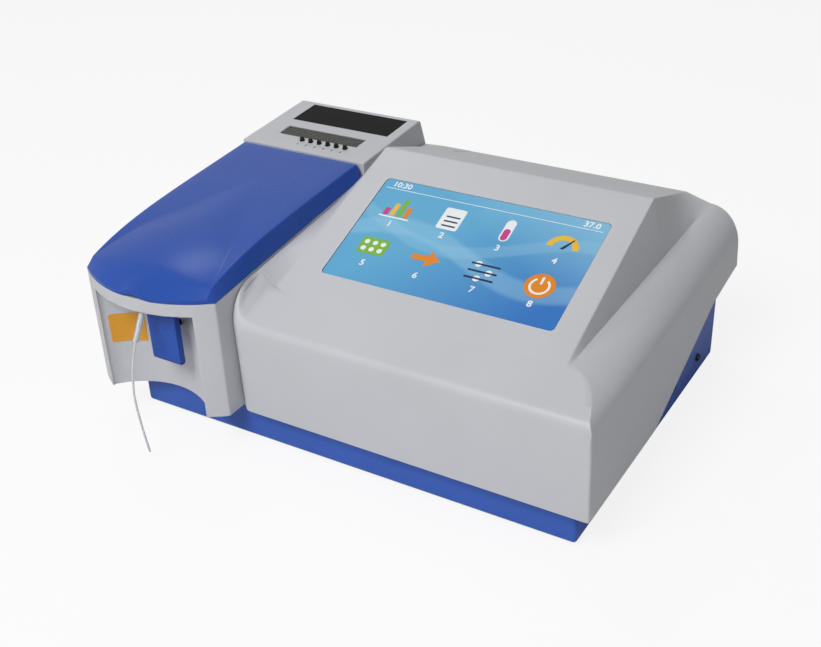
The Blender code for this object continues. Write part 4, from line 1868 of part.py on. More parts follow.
def make_printer():
    """Thermal printer: hinged cover with the platen, frame with the paper roll on hubs, and the head."""
    pivot, platen, roll = cover_pivot(), platen_centre(), roll_centre()
    half = COVER_WIDTH / 2
    cover = piece("printer_cover", prism(cover_outline(), "X", pivot.x - half, pivot.x + half),
                  grey_plastic(),
                  pivot)
    ears = []
    for side in (-1, 1):
        low, high = sorted((side * (PLATEN_WIDTH / 2 + FIT_GAP),
                            side * (PLATEN_WIDTH / 2 + FIT_GAP + PLATEN_EAR)))
        ears.append(block((platen.x + low, platen.y - PLATEN_EAR_HALF, platen.z - PLATEN_EAR_HALF),
                          (platen.x + high, platen.y + PLATEN_EAR_HALF,
                           roof_z(platen.y) - COVER_THICKNESS / 2)))
    join(cover, together(*ears), "platen_ears")
    outer = FRAME_WIDTH / 2
    low, high = pivot.z - COVER_PIVOT_RISE - OVERRUN, pivot.z - COVER_PIN_RADIUS / 2
    slots = [block((pivot.x + x - FIT_GAP, pivot.y - OVERRUN, low),
                   (pivot.x + x + FRAME_WALL + FIT_GAP, Y_REAR + OVERRUN, high))
             for x in (-outer, outer - FRAME_WALL)]
    cut(cover, together(*slots), "arm_slots")
    tabs = [block((pivot.x + low, pivot.y - COVER_PIN_RADIUS * 2, pivot.z - COVER_PIN_RADIUS * 2),
                  (pivot.x + high, pivot.y + COVER_PIVOT_INSET, pivot.z + COVER_PIN_RADIUS * 2))
            for low, high in ((-outer + FRAME_WALL + FIT_GAP, -outer + FRAME_WALL + 2 * COVER_PIN_LENGTH),
                              (outer - FRAME_WALL - 2 * COVER_PIN_LENGTH, outer - FRAME_WALL - FIT_GAP))]
    join(cover, together(*tabs), "hinge_tabs")
    pins = [bar((pivot.x + s * (outer - FRAME_WALL - COVER_PIN_LENGTH), pivot.y, pivot.z),
                (pivot.x + s * outer, pivot.y, pivot.z), COVER_PIN_RADIUS, 12) for s in (-1, 1)]
    join(cover, together(*pins), "hinge_pins")
    bore = PLATEN_WIDTH / 2 + PLATEN_EAR + OVERRUN
    cut(cover, bar((platen.x - bore, platen.y, platen.z), (platen.x + bore, platen.y, platen.z),
                   PLATEN_SHAFT + FIT_GAP, 12), "platen_bore")
    wide = PLATEN_WIDTH / 2
    roller = piece("platen_roller",
                   bar(platen - Vector((wide, 0, 0)), platen + Vector((wide, 0, 0)), PLATEN_RADIUS, 24),
                   rubber(), platen)
    wide += PLATEN_EAR
    join(roller, bar(platen - Vector((wide, 0, 0)), platen + Vector((wide, 0, 0)), PLATEN_SHAFT, 12), "shaft")
    make_printer_frame(pivot, roll, platen)
    wide = ROLL_WIDTH / 2
    paper_roll = piece("paper_roll",
                       bar(roll - Vector((wide, 0, 0)), roll + Vector((wide, 0, 0)), ROLL_RADIUS, 32),
                       paper(), roll)
    wide += OVERRUN
    cut(paper_roll, bar(roll - Vector((wide, 0, 0)), roll + Vector((wide, 0, 0)), ROLL_BORE, 20), "core")


def roof_under(y):
    """Height of the roof's underside."""
    share = (y - Y_RIDGE) / (ROOF_RUN - SHELL_WALL)
    return Z_RIDGE - SHELL_WALL + share * (Z_ROOF_END - Z_RIDGE)


def make_printer_frame(pivot, roll, platen):
    """Bucket for the roll with side hubs and hinge holes, and the print head against its front wall."""
    front, rear = Y_RIDGE + FRAME_SETBACK, Y_ROOF_END - SHELL_WALL - FIT_GAP
    low = Z_TRAY + FRAME_FLOOR
    back = Z_TRAY + FRAME_REAR_TOP
    inner_rear = rear - 2 * COVER_THICKNESS
    half = FRAME_WIDTH / 2
    under = SEAM_GAP + FIT_GAP
    outline = [(front, low), (rear, low), (rear, Z_TRAY + COVER_BOTTOM + FRAME_ARM_RISE),
               (inner_rear, roof_under(inner_rear) - under), (front, roof_under(front) - under)]
    frame = piece("printer_frame", prism(outline, "X", pivot.x - half, pivot.x + half), black_plastic())
    wall = FRAME_WALL
    bay = [(front + wall, low + wall), (rear - wall, low + wall), (rear - wall, back), (rear + OVERRUN, back),
           (rear + OVERRUN, Z_RIDGE), (front + wall, Z_RIDGE)]
    cut(frame, prism(bay, "X", pivot.x - half + wall, pivot.x + half - wall), "bay")
    reach = half - wall / 2
    hubs = [bar((roll.x + s * reach, roll.y, roll.z),
                (roll.x + s * (ROLL_WIDTH / 2 - HUB_REACH), roll.y, roll.z),
                ROLL_BORE - FIT_GAP, 20) for s in (-1, 1)]
    join(frame, together(*hubs), "hubs")
    cut(frame, bar((pivot.x - half - OVERRUN, pivot.y, pivot.z), (pivot.x + half + OVERRUN, pivot.y, pivot.z),
                   COVER_PIN_RADIUS + FIT_GAP, 12), "hinge_holes")
    z = Z_TRAY + HEAD_RISE
    piece("print_head", block((pivot.x - HEAD_WIDTH / 2, front + wall + FIT_GAP, z),
                              (pivot.x + HEAD_WIDTH / 2, platen.y - PLATEN_RADIUS - FIT_GAP,
                               z + HEAD_HEIGHT)),
          bare_aluminium())


def main():
    """Build every sub-part."""
    make_tray()
    make_main_housing()
    make_screen()
    make_module_housing()
    make_lid()
    make_bezel_fittings()
    make_trigger()
    make_nozzle()
    make_optics()
    make_pump()
    make_electronics()
    make_fan()
    make_rear_fittings()
    make_printer()


main()
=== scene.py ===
"""Looks of a benchtop chemistry analyzer: finer surfaces and finishes over its solid model.

All lengths are in metres. X runs to the right, Y to the rear and Z up from the table.
"""
from __future__ import annotations

import logging
import math
from dataclasses import dataclass
from enum import Enum
from typing import Callable, Iterable

import bmesh
import bpy
import numpy as np
from mathutils import Matrix, Vector


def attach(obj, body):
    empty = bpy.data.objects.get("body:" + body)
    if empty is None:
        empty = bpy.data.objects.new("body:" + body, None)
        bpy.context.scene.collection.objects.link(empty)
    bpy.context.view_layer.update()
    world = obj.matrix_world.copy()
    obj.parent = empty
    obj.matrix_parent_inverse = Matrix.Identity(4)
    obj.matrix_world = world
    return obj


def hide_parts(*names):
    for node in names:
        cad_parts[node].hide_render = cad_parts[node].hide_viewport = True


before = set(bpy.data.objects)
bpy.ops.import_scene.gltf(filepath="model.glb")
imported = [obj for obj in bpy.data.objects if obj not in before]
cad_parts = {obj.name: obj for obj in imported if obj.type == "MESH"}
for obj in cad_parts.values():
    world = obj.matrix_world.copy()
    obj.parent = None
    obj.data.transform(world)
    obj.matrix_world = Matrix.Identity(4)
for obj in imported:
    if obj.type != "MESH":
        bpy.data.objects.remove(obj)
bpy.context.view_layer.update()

Colour = tuple[float, float, float]
Surface = tuple[np.ndarray, np.ndarray]
Three = tuple[float, float, float]
REPORT = logging.getLogger("analyzer")
MERGE = 2e-6
ON_FACE = 2e-4
SHARP, JOINED_SHARP, REFINED_SHARP = 40.0, 35.0, 33.0
MILLIMETRES = 1000.0
BLACK, WHITE = (0.0, 0.0, 0.0, 1.0), (1.0, 1.0, 1.0, 1.0)


def tone(red: int, green: int, blue: int) -> Colour:
    """A colour written as three display values from 0 to 255, as linear light."""
    share = np.array([red, green, blue]) / 255.0
    low = share / 12.92
    high = ((share + 0.055) / 1.055) ** 2.4
    return tuple(float(v) for v in np.where(share <= 0.04045, low, high))


class Pattern(Enum):
    """How a finish varies over its surface."""

    GRAIN = "fine moulded grain"
    PAINT = "orange peel of sprayed paint"
    BRUSHED = "lines of a brushed face"


class Sheen(Enum):
    """How glossy a clear coat lies over a finish."""

    NONE = 0.0
    GLASSY = 1.0


class Draft:
    """A node material under way."""

    def __init__(self, name: str) -> None:
        """Start a material with its Principled shader.

        Args:
            name: name of the material.
        """
        self.material = bpy.data.materials.new(name)
        self.material.use_nodes = True
        self.nodes = self.material.node_tree.nodes
        self.links = self.material.node_tree.links
        self.shader = self.nodes["Principled BSDF"]

    def add(self, kind: str, **values: object) -> bpy.types.Node:
        """Add a node.

        Args:
            kind: type of the node without its common prefix.
            **values: properties of the node.

        Returns:
            The node.
        """
        node = self.nodes.new("ShaderNode" + kind)
        for name, value in values.items():
            setattr(node, name, value)
        return node

    def place(self, stretch: Three = (1.0, 1.0, 1.0)) -> bpy.types.NodeSocket:
        """Object coordinates, stretched along the axes.

        Args:
            stretch: factor along each axis.

        Returns:
            The socket with the coordinates.
        """
        source = self.add("TexCoord").outputs["Object"]
        mapping = self.add("Mapping")
        mapping.inputs["Scale"].default_value = stretch
        self.links.new(source, mapping.inputs["Vector"])
        return mapping.outputs["Vector"]

    def noise(self, place: bpy.types.NodeSocket, size: float, detail: float = 2.0) -> bpy.types.NodeSocket:
        """Noise with spots of a given size.

        Args:
            place: coordinates to read.
            size: size of the spots in metres.
            detail: octaves of finer noise.

        Returns:
            The noise value.
        """
        node = self.add("TexNoise")
        node.inputs["Scale"].default_value = 1.0 / size
        node.inputs["Detail"].default_value = detail
        self.links.new(place, node.inputs["Vector"])
        return node.outputs["Fac"]

    def between(self, value: bpy.types.NodeSocket, low: float, high: float,
                start: float = 0.3, stop: float = 0.7) -> bpy.types.NodeSocket:
        """Turn a value into another range.

        Args:
            value: the value.
            low: result at the range's start.
            high: result at its end.
            start: value that gives the low result.
            stop: value that gives the high result.

        Returns:
            The result.
        """
        node = self.add("MapRange")
        for name, number in (("From Min", start), ("From Max", stop), ("To Min", low), ("To Max", high)):
            node.inputs[name].default_value = number
        self.links.new(value, node.inputs["Value"])
        return node.outputs["Result"]

    def mix(self, share: bpy.types.NodeSocket, first: object, second: object) -> bpy.types.NodeSocket:
        """Blend two colours.

        Args:
            share: how much of the second.
            first: a colour or a socket.
            second: a colour or a socket.

        Returns:
            The blended colour.
        """
        node = self.add("Mix", data_type="RGBA")
        self.links.new(share, node.inputs["Factor"])
        for socket, value in ((node.inputs[6], first), (node.inputs[7], second)):
            if isinstance(value, bpy.types.NodeSocket):
                self.links.new(value, socket)
            else:
                socket.default_value = (*value, 1.0)
        return node.outputs[2]

    def math(self, operation: str, first: object, second: object = 0.0, third: object = 0.0) -> bpy.types.NodeSocket:
        """Work out one value from up to three.

        Args:
            operation: name of the Math node's operation.
            first: a number or a socket.
            second: a number or a socket.
            third: a number or a socket.

        Returns:
            The result.
        """
        node = self.add("Math", operation=operation)
        for socket, value in zip(node.inputs, (first, second, third)):
            if isinstance(value, bpy.types.NodeSocket):
                self.links.new(value, socket)
            else:
                socket.default_value = value
        return node.outputs[0]

    def bump(self, height: bpy.types.NodeSocket, depth: float, strength: float = 1.0) -> None:
        """Raise and sink the shader's normal.

        Args:
            height: height from 0 to 1.
            depth: metres between 0 and 1.
            strength: how much of it shows.
        """
        node = self.add("Bump")
        node.inputs["Distance"].default_value = depth
        node.inputs["Strength"].default_value = strength
        self.links.new(height, node.inputs["Height"])
        self.links.new(node.outputs["Normal"], self.shader.inputs["Normal"])

    def colour(self, value: bpy.types.NodeSocket) -> None:
        """Lead a colour to the shader."""
        self.links.new(value, self.shader.inputs["Base Color"])

    def roughness(self, value: bpy.types.NodeSocket) -> None:
        """Lead a roughness to the shader."""
        self.links.new(value, self.shader.inputs["Roughness"])

    def fixed(self, **values: float) -> None:
        """Set numbers on the shader's own sockets, by name with underscores for spaces."""
        for name, value in values.items():
            self.shader.inputs[name.replace("_", " ")].default_value = value


@dataclass(frozen=True)
class Finish:
    """A solid finish whose tone drifts slowly and whose surface has a fine pattern."""

    name: str
    colour: Colour
    rough: float
    metal: float = 0.0
    pattern: Pattern = Pattern.GRAIN
    grain: float = 0.0005
    depth: float = 0.00002
    drift: float = 0.05
    sheen: Sheen = Sheen.NONE
    gloss: float = 0.35
    drift_size: float = 0.06
    smudge_size: float = 0.022
    spread: tuple[float, float] = (-0.015, 0.025)
    bump: float = 0.6
    coat_rough: float = 0.12

    def make(self) -> bpy.types.Material:
        """Build the material.

        Returns:
            The material.
        """
        draft = Draft(self.name)
        stretch = (1.0, 1.0, 0.06) if self.pattern is Pattern.BRUSHED else (1.0, 1.0, 1.0)
        place = draft.place(stretch)
        slow = draft.noise(place, self.drift_size, 3.0)
        dark = tuple(v * (1.0 - self.drift) for v in self.colour)
        light = tuple(min(1.0, v * (1.0 + self.drift)) for v in self.colour)
        draft.colour(draft.mix(draft.between(slow, 0.0, 1.0), dark, light))
        fine = draft.noise(place, self.grain, 0.0 if self.pattern is Pattern.PAINT else 2.0)
        smudge = draft.noise(place, self.smudge_size, 4.0)
        low, high = (self.rough + part for part in self.spread)
        draft.roughness(draft.between(smudge, low, high, 0.2, 0.8))
        draft.bump(fine, self.depth, self.bump)
        draft.fixed(Metallic=self.metal, Coat_Weight=self.sheen.value, Coat_Roughness=self.coat_rough,
                    Specular_IOR_Level=self.gloss)
        return draft.material


@dataclass(frozen=True)
class Clear:
    """A clear or milky plastic that lets light through."""

    name: str
    colour: Colour
    rough: float
    through: float
    bend: float = 1.38
    cloud: float = 0.004

    def make(self) -> bpy.types.Material:
        """Build the material.

        Returns:
            The material.
        """
        draft = Draft(self.name)
        cloud = draft.noise(draft.place(), self.cloud, 2.0)
        pale = tuple(min(1.0, v * 1.06) for v in self.colour)
        draft.colour(draft.mix(draft.between(cloud, 0.0, 1.0), self.colour, pale))
        draft.roughness(draft.between(cloud, self.rough, self.rough + 0.05))
        draft.fixed(Transmission_Weight=self.through, IOR=self.bend)
        return draft.material


@dataclass(frozen=True)
class Laminate:
    """Circuit board: green mask with copper tracks that show through it."""

    name: str = "board_laminate"
    colour: Colour = tone(24, 92, 52)
    scale: float = 160.0
    track: float = 0.06

    def make(self) -> bpy.types.Material:
        """Build the material: tracks are the edges of a stretched brick pattern.

        Returns:
            The material.
        """
        draft = Draft(self.name)
        place = draft.place()
        tracks = draft.add("TexBrick")
        for name, value in (("Scale", self.scale), ("Mortar Size", self.track), ("Color1", BLACK),
                            ("Color2", BLACK), ("Mortar", WHITE)):
            tracks.inputs[name].default_value = value
        draft.links.new(place, tracks.inputs["Vector"])
        light = tuple(min(1.0, v * 1.7 + 0.01) for v in self.colour)
        draft.colour(draft.mix(tracks.outputs["Color"], self.colour, light))
        draft.roughness(draft.between(draft.noise(place, 0.01), 0.32, 0.42))
        draft.bump(tracks.outputs["Color"], 0.00003)
        return draft.material


class Palette:
    """Every finish of the analyzer, each material made once."""

    def __init__(self) -> None:
        """List the finishes by the record's slot."""
        self.finishes: dict[str, object] = {
            "grey_plastic": Finish("grey_shell", tone(199, 200, 205), 0.42, grain=0.0006, drift=0.02),
            "blue_plastic": Finish("blue_lid", tone(42, 82, 172), 0.28, grain=0.0006, depth=0.00001, drift=0.03,
                                   gloss=0.16),
            "blue_paint": Finish("blue_tray", tone(50, 92, 182), 0.40, pattern=Pattern.PAINT, grain=0.0012,
                                 depth=0.00003),
            "black_plastic": Finish("black_moulding", tone(26, 26, 28), 0.45, gloss=0.15),
            "black_metal": Finish("black_anodised", tone(38, 38, 41), 0.38, 0.7, grain=0.0003),
            "bare_aluminium": Finish("bare_aluminium", tone(196, 198, 200), 0.32, 1.0, Pattern.BRUSHED, 0.0004),
            "steel": Finish("bright_steel", tone(190, 190, 192), 0.24, 1.0, Pattern.BRUSHED, 0.0003),
            "board_green": Laminate(),
            "clear_glass": Clear("clear_tube", tone(225, 232, 236), 0.10, 0.55),
            "smoked_glass": Finish("smoked_window", tone(16, 16, 18), 0.30, grain=0.004, depth=0.000002,
                                   gloss=0.02),
            "screen_glass": Finish("touch_glass_edge", tone(40, 60, 80), 0.12, sheen=Sheen.GLASSY),
            "rubber": Finish("black_rubber", tone(30, 30, 30), 0.75, grain=0.0008, depth=0.00005),
            "paper": Finish("thermal_paper", tone(238, 238, 232), 0.7, grain=0.0002, depth=0.00001, drift=0.02),
        }
        self.made: dict[str, bpy.types.Material] = {}

    def get(self, slot: str) -> bpy.types.Material:
        """The material of a slot, made at its first use."""
        if slot not in self.made:
            self.made[slot] = self.finishes[slot].make()
        return self.made[slot]

    def add(self, name: str, finish: object) -> bpy.types.Material:
        """Register a further finish and return its material."""
        self.finishes[name] = finish
        return self.get(name)


def polygons(points: np.ndarray, across: bool = False, along: bool = False) -> np.ndarray:
    """Quads of a grid of points, as index rows.

    Args:
        points: array of rows, columns and three coordinates.
        across: whether the last column joins the first.
        along: whether the last row joins the first.

    Returns:
        One row of four indices for each quad.
    """
    rows, columns = points.shape[:2]
    index = np.arange(rows * columns).reshape(rows, columns)
    if along:
        index = np.vstack([index, index[:1]])
    if across:
        index = np.hstack([index, index[:, :1]])
    quads = np.stack([index[:-1, :-1], index[:-1, 1:], index[1:, 1:], index[1:, :-1]], axis=-1)
    return quads.reshape(-1, 4)


def surface(points: np.ndarray, across: bool = False, along: bool = False) -> Surface:
    """A grid of points with its quads."""
    return points.reshape(-1, 3), polygons(points, across, along)


def ends(count: int, rows: int) -> list[list[int]]:
    """The first and the last ring of a grid with closed rows, as two faces."""
    return [list(range(count)), list(range((rows - 1) * count, rows * count))]


def linked(name: str, data: object) -> bpy.types.Object:
    """A new object that is in the scene."""
    item = bpy.data.objects.new(name, data)
    bpy.context.scene.collection.objects.link(item)
    return item


def outwards(mesh: bpy.types.Mesh, merge: bool = True, thin: bool = False) -> None:
    """Turn a mesh's faces outwards.

    Args:
        mesh: the mesh.
        merge: whether points in one place become one first.
        thin: whether faces without area go too.
    """
    shape = bmesh.new()
    shape.from_mesh(mesh)
    if merge:
        bmesh.ops.remove_doubles(shape, verts=shape.verts, dist=MERGE)
    if thin:
        bmesh.ops.dissolve_degenerate(shape, edges=shape.edges, dist=MERGE)
    bmesh.ops.recalc_face_normals(shape, faces=shape.faces)
    shape.to_mesh(mesh)
    shape.free()


def evaluated(item: bpy.types.Object) -> bpy.types.Mesh:
    """The mesh that an object's curve or modifiers make."""
    bpy.context.view_layer.update()
    return bpy.data.meshes.new_from_object(item.evaluated_get(bpy.context.evaluated_depsgraph_get()))


def facing(item: bpy.types.Object, way: Three) -> None:
    """Turn a skin's faces so that the first one looks a given way."""
    if item.data.polygons[0].normal.dot(Vector(way)) < 0:
        item.data.flip_normals()


def new_piece(name: str, surfaces: list[Surface], material: bpy.types.Material, body: str,
              caps: list[list[int]] | None = None, smooth: float = SHARP) -> bpy.types.Object:
    """Make one object of several surfaces, merged where they meet, with its faces outwards.

    Args:
        name: name of the piece.
        surfaces: points and quads of each surface.
        material: finish of the piece.
        body: body that it rides on.
        caps: further faces, as lists of indices into all the points.
        smooth: edges sharper than this many degrees stay sharp.

    Returns:
        The object.
    """
    shift = np.cumsum([0] + [len(points) for points, _ in surfaces])
    points = np.vstack([points for points, _ in surfaces])
    faces = np.vstack([quads + start for (_, quads), start in zip(surfaces, shift)])
    mesh = bpy.data.meshes.new(name)
    mesh.from_pydata(points.tolist(), [], faces.tolist() + (caps or []))
    outwards(mesh, thin=True)
    mesh.shade_smooth()
    mesh.set_sharp_from_angle(angle=math.radians(smooth))
    mesh.materials.append(material)
    item = linked(name, mesh)
    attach(item, body)
    return item


@dataclass
class SipperTube:
    """The thin free tube that hangs from its clear sleeve in the hand pocket."""

    start: Three = (-0.1110208, -0.1393201, 0.0812624)
    radius: float = 0.0007
    steps: int = 33
    sides: int = 16
    route: tuple[Three, ...] = (
        (0.0, 0.0, 0.0),
        (0.0006, -0.0030, -0.0045),
        (0.0014, -0.0068, -0.0130),
        (0.0016, -0.0092, -0.0245),
        (0.0024, -0.0107, -0.0340),
        (0.0037, -0.0110, -0.0466),
        (0.0043, -0.0100, -0.0600),
        (0.0046, -0.0083, -0.0735),
    )

    def line(self) -> np.ndarray:
        """Points of the tube's middle line.

        A Catmull-Rom curve goes through the route's points, and its points are spaced evenly along it.

        Returns:
            Array of points.
        """
        points = np.array(self.start) + np.array(self.route)
        ends = np.vstack([2 * points[0] - points[1], points, 2 * points[-1] - points[-2]])
        t = np.linspace(0.0, 1.0, 12, endpoint=False)[:, None]
        runs = [0.5 * (2 * b + (c - a) * t + (2 * a - 5 * b + 4 * c - d) * t ** 2 + (3 * b - a - 3 * c + d) * t ** 3)
                for a, b, c, d in zip(ends, ends[1:], ends[2:], ends[3:])]
        fine = np.vstack(runs + [points[-1:]])
        run = np.concatenate([[0.0], np.cumsum(np.linalg.norm(np.diff(fine, axis=0), axis=1))])
        marks = np.linspace(0.0, run[-1], self.steps + 1)
        return np.stack([np.interp(marks, run, fine[:, k]) for k in range(3)], axis=-1)

    def build(self, palette: Palette) -> None:
        """Args:
            palette: the finishes.
        """
        line = self.line()
        grid = carried(line, self.radius, self.sides)
        finish = Clear("milky_tube", tone(226, 228, 230), 0.30, 0.25)
        tube = new_piece("free_tube", [surface(grid, across=True)], palette.add("milky_tube", finish), "analyzer",
                         ends(self.sides, len(line)))
        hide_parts("sipper_tube")


def carried(line: np.ndarray, radius: float, sides: int) -> np.ndarray:
    """A circle carried along a line without twisting.

    Each ring stands square to the line, and its first direction is the last ring's, made square to the new run.

    Args:
        line: points of the line.
        radius: radius of the circle.
        sides: points of the circle.

    Returns:
        Grid with one row for each point of the line.
    """
    runs = np.gradient(line, axis=0)
    runs /= np.linalg.norm(runs, axis=1)[:, None]
    first = np.cross(runs[0], (0.0, 0.0, 1.0))
    first = np.array([1.0, 0.0, 0.0]) if np.linalg.norm(first) < 1e-6 else first / np.linalg.norm(first)
    sideways = []
    for run in runs:
        first = first - run * (first @ run)
        first = first / np.linalg.norm(first)
        sideways.append(first)
    side = np.array(sideways)
    other = np.cross(runs, side)
    angle = np.linspace(0.0, 2 * math.pi, sides, endpoint=False)
    ring = np.cos(angle)[None, :, None] * side[:, None, :] + np.sin(angle)[None, :, None] * other[:, None, :]
    return line[:, None, :] + radius * ring


@dataclass
class Carried:
    """The solid model's own pieces that stay as they are, with finishes by the record's slots."""

    plain: tuple[str, ...] = ("trigger_pin",)
    usual: str = "grey_plastic"

    def build(self, palette: Palette) -> None:
        """Give each node the finish of its slot.

        Args:
            palette: the finishes.
        """
        for name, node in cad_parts.items():
            for entry in node.material_slots:
                slot = entry.material.name.split(".")[0] if entry.material and name not in self.plain else self.usual
                entry.material = palette.get(slot if slot in palette.finishes else self.usual)


def rounded_run(corners: list[tuple[float, float]], radii: list[float], shares: list[np.ndarray],
                steps: int = 8) -> np.ndarray:
    """Straight stretches joined by arcs.

    An arc of radius r at a turn t begins r times tan(t / 2) before its corner. Its points are the beginning plus
    r times (sin a along the first stretch and 1 - cos a to the side of the turn), with a from 0 to t.

    Args:
        corners: corner points in two coordinates.
        radii: radius at each inner corner.
        shares: places of the points on each stretch, from 0 to 1.
        steps: steps on each arc.

    Returns:
        Points of the run.
    """
    points = np.array(corners)
    ways = np.diff(points, axis=0)
    ways = ways / np.linalg.norm(ways, axis=1)[:, None]
    start, parts = points[0], []
    for corner, before, after, radius, share in zip(points[1:-1], ways, ways[1:], radii, shares):
        turn = math.acos(float(np.clip(before @ after, -1.0, 1.0)))
        side = (after - before * math.cos(turn)) / max(math.sin(turn), 1e-9)
        low = corner - before * radius * math.tan(turn / 2)
        parts.append(start + share[:-1, None] * (low - start))
        angle = np.linspace(0.0, turn, steps, endpoint=False)[:, None]
        parts.append(low + radius * (np.sin(angle) * before + (1.0 - np.cos(angle)) * side))
        start = corner + after * radius * math.tan(turn / 2)
    parts.append(start + shares[-1][:, None] * (points[-1] - start))
    return np.vstack(parts)


def even(count: int) -> np.ndarray:
    """Shares from 0 to 1 in even steps."""
    return np.linspace(0.0, 1.0, count + 1)


def eased(count: int) -> np.ndarray:
    """Shares from 0 to 1 that lie closer to the end, as the sine of an even angle."""
    return np.sin(even(count) * math.pi / 2)


ROUNDED_SHARE = 0.45


def softened(lines: list[np.ndarray], radii: list[object], steps: list[int], turn: int = 4) -> np.ndarray:
    """A surface through lengthwise lines, with a narrow round edge along each inner line.

    Near an inner line the section is the curve (1 - t)^2 A + 2 t (1 - t) P + t^2 B, where P is the line's point and
    A and B lie a radius before and after it, or at most 0.45 of the way to the next line.

    Args:
        lines: lines with as many points each.
        radii: radius at each inner line, one number or one for each point.
        steps: steps from each line to the next.
        turn: steps across each round edge.

    Returns:
        Grid with one row for each point of a line.
    """
    gaps = [np.linalg.norm(b - a, axis=1)[:, None] for a, b in zip(lines, lines[1:])]
    ways = [(b - a) / np.maximum(gap, 1e-9) for a, b, gap in zip(lines, lines[1:], gaps)]
    start, parts = lines[0], []
    t = even(turn)[None, :, None]
    for k, value in enumerate(radii):
        radius = np.broadcast_to(np.asarray(value, dtype=float), (len(lines[0]),))[:, None]
        before = lines[k + 1] - ways[k] * np.minimum(radius, ROUNDED_SHARE * gaps[k])
        after = lines[k + 1] + ways[k + 1] * np.minimum(radius, ROUNDED_SHARE * gaps[k + 1])
        share = even(steps[k])[None, :-1, None]
        parts.append(start[:, None] + share * (before - start)[:, None])
        edge = (1 - t) ** 2 * before[:, None] + 2 * t * (1 - t) * lines[k + 1][:, None] + t ** 2 * after[:, None]
        parts.append(edge[:, :-1])
        start = after
    share = even(steps[-1])[None, :, None]
    parts.append(start[:, None] + share * (lines[-1] - start)[:, None])
    return np.concatenate(parts, axis=1)


def walled(item: bpy.types.Object, thickness: float, cutters: Iterable[bpy.types.Object] = (),
           smooth: float = SHARP) -> None:
    """Give a skin its wall inwards, cut openings into it and keep the result as its mesh.

    Args:
        item: the skin.
        thickness: wall thickness.
        cutters: shapes to cut out, which are removed afterwards.
        smooth: edges sharper than this many degrees stay sharp.
    """
    skin = item.modifiers.new("wall", "SOLIDIFY")
    skin.thickness = thickness
    skin.offset = -1.0
    skin.use_even_offset = True
    for cutter in cutters:
        hole = item.modifiers.new("hole", "BOOLEAN")
        hole.operation = "DIFFERENCE"
        hole.object = cutter
        hole.solver = "EXACT"
    settle(item, smooth)
    for cutter in cutters:
        bpy.data.objects.remove(cutter)


def settle(item: bpy.types.Object, smooth: float = SHARP) -> None:
    """Turn an object's modifiers into its mesh.

    Args:
        item: the object.
        smooth: edges sharper than this many degrees stay sharp, or 0 where the shading is settled already.
    """
    made = evaluated(item)
    materials = list(item.data.materials)
    item.modifiers.clear()
    item.data = made
    made.materials.clear()
    for material in materials:
        made.materials.append(material)
    if smooth:
        made.shade_smooth()
        made.set_sharp_from_angle(angle=math.radians(smooth))


def prism(section: np.ndarray, low: float, high: float) -> Surface:
    """A section in Y and Z carried straight along X, with closed ends.

    Args:
        section: outline in two coordinates.
        low: X of one end.
        high: X of the other.

    Returns:
        Points and triangles of the ends' fans and of the sides.
    """
    count = len(section)
    rings = [np.column_stack([np.full(count, x), section]) for x in (low, high)]
    middles = np.array([ring.mean(axis=0) for ring in rings])
    index = np.arange(count)
    after = np.roll(index, -1)
    sides = np.column_stack([index, after, after + count, index + count])
    fans = [np.column_stack([index + k * count, after + k * count, np.full(count, 2 * count + k),
                             np.full(count, 2 * count + k)]) for k in (0, 1)]
    return np.vstack(rings + [middles]), np.vstack([sides] + fans)


def join(item: bpy.types.Object, surfaces: list[Surface]) -> None:
    """Add closed surfaces to an object's mesh, with their faces outwards.

    Args:
        item: the object.
        surfaces: points and faces of each surface.
    """
    shape = bmesh.new()
    shape.from_mesh(item.data)
    for points, faces in surfaces:
        corners = [shape.verts.new(point) for point in points.tolist()]
        made = [shape.faces.new([corners[i] for i in dict.fromkeys(face)]) for face in faces.tolist()]
        bmesh.ops.recalc_face_normals(shape, faces=made)
        for face in made:
            face.smooth = True
    shape.to_mesh(item.data)
    shape.free()
    item.data.set_sharp_from_angle(angle=math.radians(JOINED_SHARP))


def cutter(points: np.ndarray, low: float, high: float, place: Matrix | None = None) -> bpy.types.Object:
    """An upright prism to cut with.

    Args:
        points: plan outline.
        low: its lower end.
        high: its upper end.
        place: where it is moved to.

    Returns:
        The object.
    """
    ring = np.hstack([points, np.zeros((len(points), 1))])
    grid = np.stack([ring + (0.0, 0.0, low), ring + (0.0, 0.0, high)])
    mesh = bpy.data.meshes.new("cutter")
    faces = polygons(grid, across=True).tolist() + ends(len(points), 2)
    mesh.from_pydata(grid.reshape(-1, 3).tolist(), [], faces)
    outwards(mesh, merge=False)
    if place is not None:
        mesh.transform(place)
    return linked("cutter", mesh)


def rounded_outline(width: float, length: float, radius: float, steps: int = 6) -> np.ndarray:
    """Rectangle with round corners, as arcs of a quarter turn round four middles.

    Args:
        width: size along the first axis.
        length: size along the second axis.
        radius: corner radius.
        steps: steps of each corner.

    Returns:
        Points of the outline, anticlockwise.
    """
    angle = np.linspace(0.0, math.pi / 2, steps + 1)[None, :] + (np.arange(4) * math.pi / 2)[:, None]
    signs = np.array([[1.0, 1.0], [-1.0, 1.0], [-1.0, -1.0], [1.0, -1.0]])
    middle = signs * (width / 2 - radius, length / 2 - radius)
    points = middle[:, None, :] + radius * np.stack([np.cos(angle), np.sin(angle)], axis=-1)
    return points.reshape(-1, 2)


def slope(place: Three, tilt: float) -> Matrix:
    """A place on a face that rises to the rear by a tilt in radians."""
    return Matrix.Translation(place) @ Matrix.Rotation(tilt, 4, "X")


class Line(Enum):
    """The lengthwise lines of the main housing."""

    RAMP = "along the seam beside the module"
    PANEL = "edge of the screen's panel"
    SHOULDER = "top of the round shoulder"


